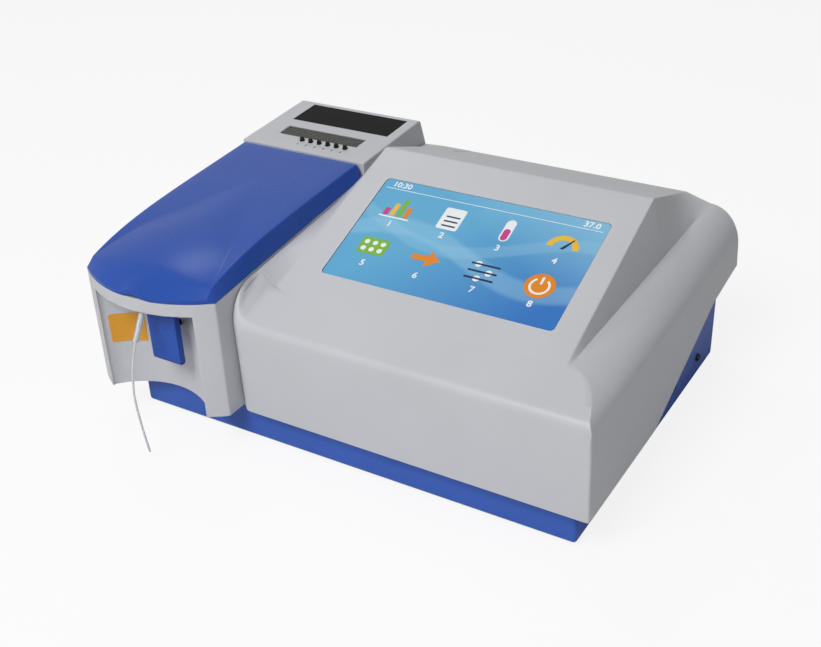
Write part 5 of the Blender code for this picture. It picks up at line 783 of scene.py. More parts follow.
@dataclass
class MainHousing:
    """The grey main shell: ramp, sloped panel, wedge facet, round shoulder and rear roof."""

    left: float = -0.06575
    right: float = 0.16825
    front: float = -0.10475
    foot: float = -0.07375
    ridge: float = 0.05025
    roof_end: float = 0.13025
    rear: float = 0.13275
    skirt: float = 0.027
    rear_skirt: float = 0.072
    rise: tuple[tuple[float, float], ...] = ((0.08825, 0.066), (-0.00775, 0.027))
    lean: float = 0.002
    edge: float = 0.0010
    wall: float = 0.0025
    corner: float = 0.0015
    set_back: float = 0.00375
    heights: tuple[tuple[Line, tuple[float, float, float, float]], ...] = (
        (Line.RAMP, (0.1072, 0.1103, 0.1235, 0.1187)),
        (Line.PANEL, (0.091, 0.101, 0.1476, 0.1187)),
        (Line.SHOULDER, (0.091, 0.101, 0.1095, 0.115)),
    )
    ramp_rounding: float = 0.022
    front_rounding: float = 0.006
    roundings: Three = (0.030, 0.004, 0.004)
    skirt_steps: int = 6
    front_rows: int = 7
    corner_rows: int = 40
    shoulder_width: Three = (0.028, 0.023, 0.020)
    shoulder_height: Three = (0.016, 0.020, 0.025)
    shoulder_steps: int = 18
    past_foot: float = 0.006
    corner_top: float = 0.087
    corner_fade: float = 0.004
    corner_drop: float = 0.016
    panel_left: Three = (0.013, 0.017, 0.017)
    panel_right: Three = (0.0295, 0.031, 0.037)
    near: float = 0.0048
    near_weight: tuple[float, float] = (0.70, 0.38)
    seam_rounding: float = 0.004
    brow_rounding: Three = (0.0012, 0.029, 0.2)
    panel_rounding: float = 0.0008
    screen_gap: float = 0.0006
    cut: float = 0.006
    printer: tuple[float, float, float, float] = (-0.02815, 0.07865, 0.10185, 0.140)
    printer_levels: tuple[float, float] = (0.0858, 0.150)

    @property
    def stations(self) -> Three:
        """Y of the panel's foot, of the ridge and of the roof's end."""
        return self.foot, self.ridge, self.roof_end

    def line(self, kind: Line, inset: float = 0.0) -> np.ndarray:
        """Side profile of a lengthwise line.

        Args:
            kind: which line.
            inset: how far it lies inwards.

        Returns:
            Rows of Y and Z from the front skirt to the rear skirt.
        """
        corner, start, ridge, roof = dict(self.heights)[kind]
        front = self.front + inset + (self.set_back if kind is Line.RAMP else 0.0)
        corners = [(front, self.skirt), (front - self.lean, corner - inset), (self.foot, start - inset),
                   (self.ridge, ridge - inset), (self.roof_end - inset, roof - inset),
                   (self.rear - inset, self.rear_skirt)]
        foot, top, end = self.roundings
        radii = [self.ramp_rounding if kind is Line.RAMP else self.front_rounding, foot, top, end - inset]
        return rounded_run(corners, radii, [even(8), eased(24), even(36), even(18), even(self.skirt_steps)])

    def shoulder(self) -> list[np.ndarray]:
        """Lines of the round shoulder, from its crisp upper edge to the right wall.

        The shoulder is a quarter of an ellipse, w wide and h high, whose top line is level before the panel's foot
        and rises behind it. At an angle a its surface lies w (1 - sin a) from the right side and h (1 - cos a) below
        the top line. The brow cuts it, so each row starts at the angle whose fall is the row's own depth below the
        top line, and runs from there to a right angle. The upright front edge is a quarter circle.

        Returns:
            The lines.
        """
        flat = self.line(Line.SHOULDER)
        y, z = flat[:, 0], flat[:, 1]
        width = np.interp(y, self.stations, self.shoulder_width)
        height = np.interp(y, self.stations, self.shoulder_height)
        top = np.interp(y, self.stations, dict(self.heights)[Line.SHOULDER][1:])
        drop = np.where(y < self.foot + self.past_foot, np.clip(top - z, 0.0, height), 0.0)
        begin = np.arccos(1 - drop / height)
        last = np.arange(len(y)) - (len(y) - 1 - self.skirt_steps)
        height = height * np.where(last > 0, 1.0 - last / self.skirt_steps, 1.0)
        turned = np.clip((self.corner_top - z) / self.corner_fade, 0.0, 1.0) * (y < self.foot)
        reach = y + self.corner * turned
        reach[self.front_rows:] = np.maximum.accumulate(reach[self.front_rows:])
        reach = np.where(np.arange(len(y)) < self.corner_rows, reach, y)
        low = (turned > 0) & (z < top - self.corner_drop)
        lines = []
        for u in even(self.shoulder_steps):
            angle = begin + u * (math.pi / 2 - begin)
            bent = 1 - math.sin(u * math.pi / 2)
            x = self.right - width * (1 - np.sin(angle)) - self.corner * turned * bent
            back = y + (reach - y) * (1 - math.cos(u * math.pi / 2))
            fallen = np.where(low, z, z + drop - height * (1 - np.cos(angle)))
            lines.append(np.stack([x, back, fallen], axis=-1))
        return lines

    def surface(self) -> np.ndarray:
        """The whole outer skin between its two walls.

        A near line beside the seam is w times the panel's line plus 1 - w times the ramp's, where w falls from the
        front edge to the panel's foot, and the brow's round edge narrows over the same run.

        Returns:
            Grid with one row for each point along the side profile.
        """
        lines = []
        for angle in np.linspace(0.0, math.pi / 2, 4):
            flat = self.line(Line.RAMP, self.edge * (1 - math.sin(angle)))
            x = self.left + self.edge * (1 - math.cos(angle))
            lines.append(np.hstack([np.full((len(flat), 1), x), flat]))
        panel = self.line(Line.PANEL)
        y = panel[:, 0]
        inner = self.left + np.interp(y, self.stations, self.panel_left)
        outer = self.right - np.interp(y, self.stations, self.panel_right)
        shoulder = self.shoulder()
        share = np.clip((y - self.front) / (self.foot - self.front), 0.0, 1.0)
        least, more, run = self.brow_rounding
        smooth = least + more * np.clip((1.0 - share) / run, 0.0, 1.0)
        weight = (self.near_weight[0] - self.near_weight[1] * share)[:, None]
        ramp = self.line(Line.RAMP) - (self.set_back, 0.0) * (panel[:, :1] < self.foot)
        near = np.column_stack([np.full(len(y), self.left + self.near), (1 - weight) * ramp + weight * panel])
        middle = softened([lines[-1], near, np.column_stack([inner, panel]), np.column_stack([outer, panel]),
                           shoulder[0]], [self.seam_rounding * (share < 1.0), smooth, self.panel_rounding],
                          [5, 8, 14, 5], 8)
        edge = np.stack(lines[:-1], axis=1)
        return np.concatenate([edge, middle, np.stack(shoulder[1:], axis=1)], axis=1)

    def build(self, palette: Palette) -> None:
        """Make the shell with its openings for the screen and the printer.

        Args:
            palette: the finishes.
        """
        grid = self.surface()
        rows, columns = grid.shape[:2]
        points, quads = surface(grid)
        extra = np.array([[x, y, z] for x in (self.left, self.right) for y, z in self.rise])
        points = np.vstack([points, extra])
        start = rows * columns
        left = [row * columns for row in range(rows)] + [start, start + 1]
        right = [row * columns + columns - 1 for row in range(rows)] + [start + 2, start + 3]
        shell = new_piece("main_shell", [(points, quads)], palette.get("grey_plastic"), "analyzer",
                          [left, right])
        glass = TouchScreen()
        width, length = glass.width + self.screen_gap, glass.length + self.screen_gap
        screen = cutter(rounded_outline(width, length, glass.corner), -self.cut, self.cut, glass.face())
        x_low, x_high, y_low, y_high = self.printer
        plan = np.array([[x_low, y_low], [x_high, y_low], [x_high, y_high], [x_low, y_high]])
        walled(shell, self.wall, [screen, cutter(plan, *self.printer_levels)])
        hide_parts("upper_housing")


@dataclass
class SampleLid:
    """The blue lid: a domed skin with bevelled sides, a crisp brow line and a bowed visor."""

    middle: float = -0.11725
    half: float = 0.047
    side: float = 0.051
    nose: float = -0.13275
    nose_radius: float = 0.08125
    nose_end: float = -0.11475
    rear: float = 0.04695
    bend: float = -0.05875
    crease: float = -0.11175
    bow: float = 0.008
    dome: float = 0.006
    dome_length: float = 0.120
    lip: float = 0.0025
    skin: float = 0.0018
    edge: float = 0.003
    hinge: tuple[float, float] = (0.04245, 0.12825)
    barrel: float = 0.0021
    knuckles: tuple[float, float] = (0.0325, 0.0385)
    low_front: float = 0.1073
    low_rise: float = 0.0169
    gap: float = 0.0003
    top: float = 0.1332
    falls: tuple[float, float] = (0.0105, 0.0085)
    fall_power: float = 5.5
    dome_half: float = 0.0465
    dome_taper: float = 0.8
    fade: tuple[float, float] = (-0.080, 0.026)
    rear_foot: float = 0.002
    notch: Three = (-0.11425, 0.025, 0.023)
    rounding: float = 0.0008

    def low(self, y: np.ndarray) -> np.ndarray:
        """Height of the lower edge: level round the nose, then rising to the rear."""
        share = np.clip((y - self.nose_end) / (self.rear - self.nose_end), 0.0, None)
        return self.low_front + share * self.low_rise - self.gap

    def flat(self, y: np.ndarray) -> np.ndarray:
        """Height of the top's middle line: it falls by a t + b t^5.5, t being 0 at the rear and 1 at the crease."""
        t = np.clip((self.rear - y) / (self.rear - self.crease), 0.0, 1.05)
        return self.top - self.falls[0] * t - self.falls[1] * t ** self.fall_power

    def crown(self, x: np.ndarray, y: np.ndarray) -> np.ndarray:
        """Height of the dome.

        Its half width is 46.5 (1 - s)^0.8 millimetres, with s the share of its length behind the crease. Inside it
        the height is H (1 - s)^2 times the parabola 1 - q^2, with q the place across, and the parabola turns into
        its square to the rear, so that the crisp edge fades.

        Args:
            x: places across.
            y: places along.

        Returns:
            Heights.
        """
        s = np.clip((y - self.crease) / self.dome_length, 0.0, 0.999)
        q = (x - self.middle) / (self.dome_half * (1 - s) ** self.dome_taper)
        round_top = np.clip(1 - q ** 2, 0.0, None)
        fade = np.clip((y - self.fade[0]) / self.fade[1], 0.0, 1.0)
        return self.dome * (1 - s) ** 2 * ((1 - fade) * round_top + fade * round_top ** 2)

    def across(self, y: float) -> np.ndarray:
        """Places across the top, with two of them on the dome's edge."""
        s = min(max((y - self.crease) / self.dome_length, 0.0), 0.80)
        inner = self.dome_half * (1 - s) ** self.dome_taper
        inside = inner * np.concatenate([[-1.0], np.linspace(-0.985, 0.985, 33), [1.0]])
        outside = inner + (self.half - inner) * np.array([0.06, 0.25, 0.5, 0.75, 1.0])
        return self.middle + np.concatenate([-outside[::-1], inside, outside])

    def row(self, y: float, fall: float = 0.0, domed: bool = True) -> np.ndarray:
        """A row of the top from the left edge to the right.

        Args:
            y: place of the row at its ends. Before the bend the row bows forwards with the crease.
            fall: how far it lies below the flat top.
            domed: whether the dome rises on it.

        Returns:
            Points of the row.
        """
        x = self.across(y)
        forward = max(0.0, (self.bend - y) / (self.bend - self.crease))
        places = y - self.bow * forward * (1 - ((x - self.middle) / self.half) ** 2)
        height = self.flat(places) - fall
        if domed:
            height = height + self.crown(x, places)
        return np.stack([x, places, height], axis=-1)

    def surface(self) -> np.ndarray:
        """The outer skin: rear edge, flat top, slope, brow line, visor and lip, with the two side bevels.

        Returns:
            Grid with one row for each step from the rear to the front.
        """
        tops, feet = [], []
        for angle in np.linspace(0.0, math.pi / 2, 7):
            y = self.rear - self.edge * (1 - math.cos(angle))
            tops.append(self.row(y, self.edge * (1 - math.sin(angle)), False))
            feet.append(self.rear - self.rear_foot)
        for share in even(30)[1:]:
            y = self.rear - self.edge + share * (self.bend - self.rear + self.edge)
            tops.append(self.row(y))
            feet.append(min(y, self.rear - self.rear_foot))
        for share in (*even(30)[1:-1], 0.985, 1.0):
            y = self.bend + share * (self.crease - self.bend)
            tops.append(self.row(y))
            feet.append(y)
        brow = tops[-1]
        offset = brow[:, 0] - self.middle
        front = self.nose + self.nose_radius - np.sqrt(self.nose_radius ** 2 - offset ** 2)
        centre, radius, cut_off = self.notch
        notch = np.sqrt(np.clip(radius ** 2 - (brow[:, 0] - centre) ** 2, 0.0, None)) - cut_off
        bottom = self.low(np.array([self.nose]))[0] + np.clip(notch, 0.0, None)
        for share in (0.03, 0.07, *even(10)[1:]):
            y = brow[:, 1] + share * (front - brow[:, 1])
            z = brow[:, 2] + share * (bottom + self.lip - brow[:, 2])
            tops.append(np.stack([brow[:, 0], y, z], axis=-1))
            feet.append(self.crease + share * (self.nose_end - self.crease))
        tops.append(np.stack([brow[:, 0], front, bottom], axis=-1))
        feet.append(self.nose_end)
        top, feet = np.stack(tops), np.array(feet)
        low = self.low(feet)
        lefts = np.stack([np.full(len(feet), self.middle - self.side), feet, low], axis=-1)
        rights = np.stack([np.full(len(feet), self.middle + self.side), feet, low], axis=-1)
        left = softened([lefts, top[:, 0], top[:, 1]], [self.rounding], [5, 1])
        right = softened([top[:, -2], top[:, -1], rights], [self.rounding], [1, 5])
        return np.concatenate([left[:, :-1], top[:, 1:-1], right[:, 1:]], axis=1)

    def build(self, palette: Palette) -> None:
        """Make the lid with its wall.

        Args:
            palette: the finishes.
        """
        skin = new_piece("domed_lid", [surface(self.surface())], palette.get("blue_plastic"), "lid",
                         smooth=30.0)
        walled(skin, self.skin, smooth=30.0)
        join(skin, [self.knuckle(side) for side in (-1, 1)])
        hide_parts("sample_lid")

    def knuckle(self, side: int) -> Surface:
        """Closed barrel round the hinge pin with a web up to the lid.

        Its section is the lower three quarters of a circle round the pin, joined to two points under the lid.

        Args:
            side: -1 for the left one and 1 for the right one.

        Returns:
            Points and faces.
        """
        angle = np.linspace(math.pi, 2.5 * math.pi, 22)
        ring = self.hinge + self.barrel * np.stack([np.cos(angle), np.sin(angle)], axis=-1)
        roof = self.flat(np.array([self.hinge[0]]))[0] - self.skin * 1.2
        section = np.vstack([ring, [[self.hinge[0], roof], [self.hinge[0] - self.barrel, roof]]])
        low, high = sorted(side * place for place in self.knuckles)
        return prism(section, self.middle + low, self.middle + high)


def refined(node: str, name: str, body: str, material: bpy.types.Material, width: float,
            chosen: Callable[[Vector], bool] | None = None, steps: int = 3, least: float = 0.0012,
            turn: float = 35.0) -> None:
    """A solid's shape again with its convex edges rounded, in place of the solid.

    Args:
        node: the solid.
        name: name of the new piece.
        body: body that it rides on.
        material: finish of the piece.
        width: how far the rounding runs from each edge.
        chosen: tells whether a point may be on a rounded edge, asked of the edge's ends and middle.
        steps: faces across the rounding.
        least: shorter edges stay sharp.
        turn: flatter edges stay as they are.
    """
    shape = bmesh.new()
    shape.from_mesh(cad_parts[node].data)
    bmesh.ops.remove_doubles(shape, verts=shape.verts, dist=MERGE)
    bmesh.ops.dissolve_limit(shape, angle_limit=math.radians(1.0), verts=shape.verts, edges=shape.edges)
    edges = [edge for edge in shape.edges
             if len(edge.link_faces) == 2 and edge.is_convex and edge.calc_length() > least
             and edge.calc_face_angle() > math.radians(turn)
             and (chosen is None or all(chosen(corner.co) for corner in edge.verts)
                  and chosen((edge.verts[0].co + edge.verts[1].co) / 2))]
    bmesh.ops.bevel(shape, geom=edges, offset=width, offset_type="OFFSET", segments=steps, profile=0.5,
                    affect="EDGES", clamp_overlap=False)
    bmesh.ops.triangulate(shape, faces=[face for face in shape.faces if len(face.verts) > 4],
                          ngon_method="EAR_CLIP")
    mesh = bpy.data.meshes.new(name)
    shape.to_mesh(mesh)
    shape.free()
    mesh.shade_smooth()
    mesh.set_sharp_from_angle(angle=math.radians(REFINED_SHARP))
    mesh.materials.append(material)
    item = linked(name, mesh)
    even_light = item.modifiers.new("even_light", "WEIGHTED_NORMAL")
    even_light.keep_sharp = True
    even_light.weight = 100
    settle(item, 0.0)
    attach(item, body)
    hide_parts(node)


def turned(profile: list[tuple[float, float]], place: Matrix, sides: int = 24) -> Surface:
    """A profile of radius and height turned round the Z axis of a place.

    Args:
        profile: rows of radius and height, from the axis back to the axis.
        place: where the axis stands.
        sides: points round the axis.

    Returns:
        Points and faces.
    """
    rows = np.array(profile)
    angle = np.linspace(0.0, 2 * math.pi, sides, endpoint=False)
    x = rows[:, 0, None] * np.cos(angle)
    y = rows[:, 0, None] * np.sin(angle)
    z = np.broadcast_to(rows[:, 1, None], x.shape)
    return surface(moved(np.stack([x, y, z], axis=-1), place), across=True)


def moved(points: np.ndarray, place: Matrix) -> np.ndarray:
    """Points taken to a place."""
    matrix = np.array(place)
    return points @ matrix[:3, :3].T + matrix[:3, 3]


def slab(outline: np.ndarray, low: float, high: float, place: Matrix,
         edge: float = 0.0) -> tuple[Surface, list[list[int]]]:
    """A flat piece with upright sides and a narrow bevel round its top.

    Args:
        outline: plan outline, anticlockwise.
        low: its lower face.
        high: its upper face.
        place: where it lies.
        edge: width of the bevel.

    Returns:
        The sides, and the two end faces as index lists.
    """
    middle = outline.mean(axis=0)
    reach = np.abs(outline - middle).max()
    rings = [(1.0, low), (1.0, high - edge), (1.0 - edge / reach, high)] if edge else [(1.0, low), (1.0, high)]
    grid = np.stack([np.column_stack([middle + (outline - middle) * share, np.full(len(outline), z)])
                     for share, z in rings])
    return surface(moved(grid, place), across=True), ends(len(outline), len(rings))


@dataclass
class ModuleHousing:
    """The grey sample module: nose with the hand pocket, deck and rear bezel, and the bare amber sticker."""

    left: float = -0.16825
    right: float = -0.06625
    nose: float = -0.13275
    nose_radius: float = 0.08125
    pocket_radius: float = 0.051003
    pocket_depth: float = 0.030
    rounding: float = 0.0009
    bezel: tuple[float, float] = (0.0478, 0.1325)
    sticker_x: tuple[float, float] = (-0.15375, -0.13475)
    sticker_z: tuple[float, float] = (0.058, 0.078)
    sticker_flat: float = 0.44
    sticker_round: float = 0.06
    sticker_corner: float = 0.0018
    sticker_proud: float = 0.0004
    sticker_wall: float = 0.0003

    def outside(self, point: Vector) -> bool:
        """Whether a point lies on the module's outer faces."""
        offset = point.x - (self.left + self.right) / 2
        front = self.nose + self.nose_radius - math.sqrt(self.nose_radius ** 2 - offset ** 2)
        side = min(point.x - self.left, self.right - point.x)
        on_bezel = point.y > self.bezel[0] and point.z > self.bezel[1]
        return side < ON_FACE or point.y - front < ON_FACE or on_bezel

    def sticker(self, palette: Palette) -> None:
        """Bare amber sticker on the pocket's rear wall, bent with it.

        Its front is at y = Y0 + depth - R + sqrt(R^2 - x^2), less its thickness, with rounded corners.

        Args:
            palette: the finishes.
        """
        middle = (self.left + self.right) / 2
        width, height = self.sticker_x[1] - self.sticker_x[0], self.sticker_z[1] - self.sticker_z[0]
        across = np.linspace(-0.5, 0.5, 15)
        up = np.concatenate([np.linspace(-0.5, -self.sticker_flat, 4), np.linspace(self.sticker_flat, 0.5, 4)])
        v, u = np.meshgrid(up, across, indexing="ij")
        corner = np.clip((np.abs(v) - self.sticker_flat) / self.sticker_round, 0.0, 1.0)
        x = sum(self.sticker_x) / 2 - middle + u * (width - self.sticker_corner * (1 - np.sqrt(1 - corner ** 2)))
        z = sum(self.sticker_z) / 2 + v * height
        wall = self.nose + self.pocket_depth - self.pocket_radius + np.sqrt(self.pocket_radius ** 2 - x ** 2)
        finish = Finish("amber_vinyl", tone(226, 158, 44), 0.38, grain=0.0009, depth=0.000008, drift=0.03)
        front = np.stack([middle + x, wall - self.sticker_proud, z], axis=-1)
        item = new_piece("amber_sticker", [surface(front)], palette.add("amber_vinyl", finish), "analyzer")
        facing(item, (0.0, -1.0, 0.0))
        walled(item, self.sticker_wall)

    def build(self, palette: Palette) -> None:
        """Make the module and its sticker.

        Args:
            palette: the finishes.
        """
        refined("module_housing", "sample_module", "analyzer", palette.get("grey_plastic"),
                self.rounding, self.outside)
        self.sticker(palette)


@dataclass
class BezelFittings:
    """Perforated strip, six keys and their numbers on the module's rear bezel."""

    middle: float = -0.11725
    front: float = 0.04795
    height: float = 0.1332
    tilt: float = 3.6
    strip: tuple[float, float] = (0.065, 0.0125)
    strip_start: float = 0.0195
    holes: tuple[int, int] = (27, 5)
    key_start: float = 0.0145
    key_offset: float = 0.0085
    key_pitch: float = 0.0072
    key_radius: float = 0.0017
    window: tuple[float, float] = (0.081, 0.0282)
    window_start: float = 0.0425
    window_offset: float = 0.003
    key_edge: float = 0.0007
    key_shoulder: float = 0.0021
    key_waist: float = 0.86
    key_crown: tuple[tuple[float, float], ...] = ((0.0, 0.00292), (0.3, 0.00288))
    key_flange: float = 0.0028
    key_flange_levels: tuple[float, float] = (-0.00251, -0.00331)
    number_start: float = 0.0087
    number_height: float = 0.0026
    number_proud: float = 0.00006
    hole: tuple[float, float] = (0.40, 0.64)
    grille_sunk: float = 0.0003
    grille_wall: float = 0.0008
    back: tuple[float, float] = (-0.0025, -0.0012)
    window_gap: float = 0.0001
    window_floor: float = -0.0046

    def at(self, start: float, offset: float) -> Matrix:
        """Place on the bezel at a distance behind its front edge and from its middle."""
        tilt = math.radians(self.tilt)
        return slope((self.middle + offset, self.front + start * math.cos(tilt), self.height + start * math.sin(tilt)),
                     tilt)

    def key_place(self, index: int, start: float) -> Matrix:
        """Place on the bezel in line with a key."""
        return self.at(start, self.key_offset + (index - 2.5) * self.key_pitch)

    def grille(self, palette: Palette) -> None:
        """Strip of fine square holes: a grid of lines at the holes' edges, with the cells of the holes left out.

        Args:
            palette: the finishes.
        """
        lines = []
        for size, count in zip(self.strip, self.holes):
            pitch = size / (count + 0.5)
            starts = -size / 2 + pitch * (np.arange(count) + self.hole[0])
            lines.append(np.concatenate([[-size / 2], np.column_stack([starts, starts + pitch * self.hole[1]]).ravel(),
                                         [size / 2]]))
        y, x = np.meshgrid(lines[1], lines[0], indexing="ij")
        place = self.at(self.strip_start + self.strip[1] / 2, 0.0)
        points = moved(np.stack([x, y, np.full(x.shape, -self.grille_sunk)], axis=-1), place)
        quads = polygons(points).reshape(x.shape[0] - 1, x.shape[1] - 1, 4)
        row, column = np.indices(quads.shape[:2])
        kept = quads[(row % 2 == 0) | (column % 2 == 0)]
        finish = Finish("grille_grey", tone(96, 96, 94), 0.45, grain=0.0005, gloss=0.1)
        item = new_piece("fine_grille", [(points.reshape(-1, 3), kept)], palette.add("grille_grey", finish),
                         "analyzer")
        facing(item, (0.0, 0.0, 1.0))
        walled(item, self.grille_wall)
        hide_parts("vent_strip")
        outline = rounded_outline(self.strip[0], self.strip[1], 0.0002, 2)
        sides, caps = slab(outline, *self.back, place)
        new_piece("grille_back", [sides], palette.get("black_plastic"), "analyzer", caps)

    def film(self, palette: Palette) -> None:
        """Flush dark window: a slab with a narrow bevel that fills its opening.

        Args:
            palette: the finishes.
        """
        outline = rounded_outline(self.window[0] - self.window_gap, self.window[1] - self.window_gap, 0.0003, 3)
        place = self.at(self.window_start + self.window[1] / 2, self.window_offset)
        sides, caps = slab(outline, self.window_floor, -self.window_gap, place, self.window_gap)
        item = new_piece("dark_window", [sides], palette.get("smoked_glass"), "analyzer", caps)
        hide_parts("status_window")

    def keys(self, palette: Palette) -> None:
        """Round keys with a soft dome: an arc over a straight stem.

        Args:
            palette: the finishes.
        """
        r = self.key_radius
        angle = np.linspace(0.0, math.pi / 2, 7)
        arc = np.column_stack([r * self.key_waist - self.key_edge + self.key_edge * np.sin(angle),
                               self.key_shoulder + self.key_edge * np.cos(angle)])
        upper, lower = self.key_flange_levels
        profile = [*((r * share, height) for share, height in self.key_crown), *map(tuple, arc.tolist()),
                   (r, 0.0001), (r, upper), (self.key_flange, upper), (self.key_flange, lower), (0.0, lower)]
        for index in range(6):
            item = new_piece(f"soft_key_{index + 1}", [turned(profile, self.key_place(index, self.key_start))],
                             palette.get("black_plastic"), f"key_{index + 1}")
            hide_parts(f"key_{index + 1}")

    def numbers(self, palette: Palette) -> None:
        """Small printed numbers from 1 to 6 in front of the keys.

        Args:
            palette: the finishes.
        """
        finish = Finish("dark_print", tone(70, 70, 74), 0.5, grain=0.0004, depth=0.000004)
        for index in range(6):
            printed(str(index + 1), f"key_number_{index + 1}", self.number_height, self.number_proud,
                    self.key_place(index, self.number_start), palette.add("dark_print", finish))

    def build(self, palette: Palette) -> None:
        """Make the strip, the keys and the numbers."""
        self.grille(palette)
        self.film(palette)
        self.keys(palette)
        self.numbers(palette)


LETTER_SHARE, BOLD_SHARE = 1.4, 0.03


def printed(words: str, name: str, height: float, proud: float, place: Matrix, material: bpy.types.Material) -> None:
    """Plain figures as a thin closed mesh centred on a place.

    Args:
        words: the figures.
        name: name of the piece.
        height: height of the figures.
        proud: thickness above the face.
        place: middle of the figures, on the face.
        material: finish.
    """
    curve = bpy.data.curves.new(name, "FONT")
    curve.body = words
    curve.size = height * LETTER_SHARE
    curve.align_x = "CENTER"
    curve.align_y = "CENTER"
    curve.extrude = proud
    curve.offset = height * BOLD_SHARE
    curve.resolution_u = 3
    source = linked(name + "_curve", curve)
    mesh = evaluated(source)
    bpy.data.objects.remove(source)
    mesh.transform(place)
    outwards(mesh)
    mesh.materials.clear()
    mesh.materials.append(material)
    item = linked(name, mesh)
    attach(item, "analyzer")


@dataclass
class BaseTray:
    """The blue sheet tray with bent outer corners, and the two dark screws in its right wall."""

    left: float = -0.15175
    right: float = 0.15825
    front: float = -0.09775
    rear: float = 0.12945
    bottom: float = 0.003
    bend: float = 0.0024
    screws: tuple[tuple[float, float], ...] = ((0.05105, 0.0205), (0.09685, 0.0175))

    def outside(self, point: Vector) -> bool:
        """Whether a point lies where two of the tray's outer faces meet."""
        faces = ((self.left, self.right), (self.front, self.rear), (self.bottom,))
        return sum(min(abs(value - face) for face in pair) < ON_FACE for value, pair in zip(point, faces)) >= 2

    def build(self, palette: Palette) -> None:
        """Make the tray and its screws: a dark ring with a bright domed middle.

        Args:
            palette: the finishes.
        """
        refined("base_tray", "bent_tray", "analyzer", palette.get("blue_paint"), self.bend,
                self.outside, 4, turn=60.0)
        turn = Matrix.Rotation(math.pi / 2, 4, "Y")
        ring = [(0.0, 0.0004), (0.0014, 0.0004), (0.0016, 0.0011), (0.0021, 0.0016), (0.0026, 0.0013), (0.0028, 0.0),
                (0.0013, 0.0), (0.0013, -0.0062), (0.0, -0.0062)]
        dome = [(0.0, 0.0013), (0.0006, 0.0012), (0.0011, 0.0009), (0.0014, 0.0003), (0.0, 0.0003)]
        for index, (y, z) in enumerate(self.screws, 1):
            place = Matrix.Translation((self.right, y, z)) @ turn
            item = new_piece(f"wall_screw_{index}", [turned(ring, place)], palette.get("black_metal"), "analyzer")
            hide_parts(f"side_screw_{index}")
            new_piece(f"screw_middle_{index}", [turned(dome, place, 16)], palette.get("steel"), "analyzer")


@dataclass
class PrinterDoor:
    """The flush door of the printer in the rear roof."""

    rounding: float = 0.0006

    def build(self, palette: Palette) -> None:
        """Make the door with rounded edges."""
        refined("printer_cover", "paper_door", "cover", palette.get("grey_plastic"), self.rounding,
                None, 3, 0.003)


@dataclass
class Trigger:
    """The blue paddle in the hand pocket, with soft edges."""

    rounding: float = 0.0011

    def build(self, palette: Palette) -> None:
        """Make the paddle."""
        refined("trigger_paddle", "finger_paddle", "trigger", palette.get("blue_plastic"),
                self.rounding, lambda point: point.z < 0.099, 4, 0.003)


class Ink(Enum):
    """Printed colours of the screen's signs."""

    WHITE = (244, 248, 250)
    ORANGE = (232, 140, 44)
    YELLOW = (240, 196, 72)
    GREEN = (128, 186, 66)
    PINK = (206, 70, 140)
    NAVY = (34, 48, 84)


@dataclass(frozen=True)
class Picture:
    """The screen's picture: a blue that deepens to the lower right, with two pale waves across it."""

    name: str = "screen_picture"
    waves: tuple[tuple[float, float, float, float], ...] = ((0.4, 0.42, 0.10, 0.30), (2.6, 0.60, 0.07, 0.22))
    turns: float = 5.2
    swing: float = 0.16
    gloss: float = 0.12

    def make(self) -> bpy.types.Material:
        """Build the material on the glass's own UV map.

        Returns:
            The material.
        """
        draft = Draft(self.name)
        source = draft.add("UVMap", uv_map="picture")
        parts = draft.add("SeparateXYZ")
        draft.links.new(source.outputs["UV"], parts.inputs["Vector"])
        u, v = parts.outputs["X"], parts.outputs["Y"]
        slant = draft.math("MULTIPLY_ADD", v, -0.55, draft.math("ADD", u, 0.30))
        base = draft.mix(draft.between(slant, 0.0, 1.0, 0.35, 1.15), tone(96, 174, 216), tone(56, 120, 196))
        corner = draft.math("MULTIPLY_ADD", v, 0.9, u)
        base = draft.mix(draft.between(corner, 0.0, 0.75, 1.15, 1.85), base, tone(150, 208, 236))
        for phase, level, width, share in self.waves:
            wave = draft.math("SINE", draft.math("MULTIPLY_ADD", u, self.turns, phase))
            line = draft.math("MULTIPLY_ADD", wave, self.swing, level)
            away = draft.math("ABSOLUTE", draft.math("SUBTRACT", v, line))
            base = draft.mix(draft.between(away, share, 0.0, width * 0.6, width), base, tone(168, 218, 240))
        draft.colour(base)
        draft.roughness(draft.between(draft.noise(source.outputs["UV"], 0.2, 3.0), 0.34, 0.38))
        draft.fixed(Specular_IOR_Level=self.gloss)
        return draft.material


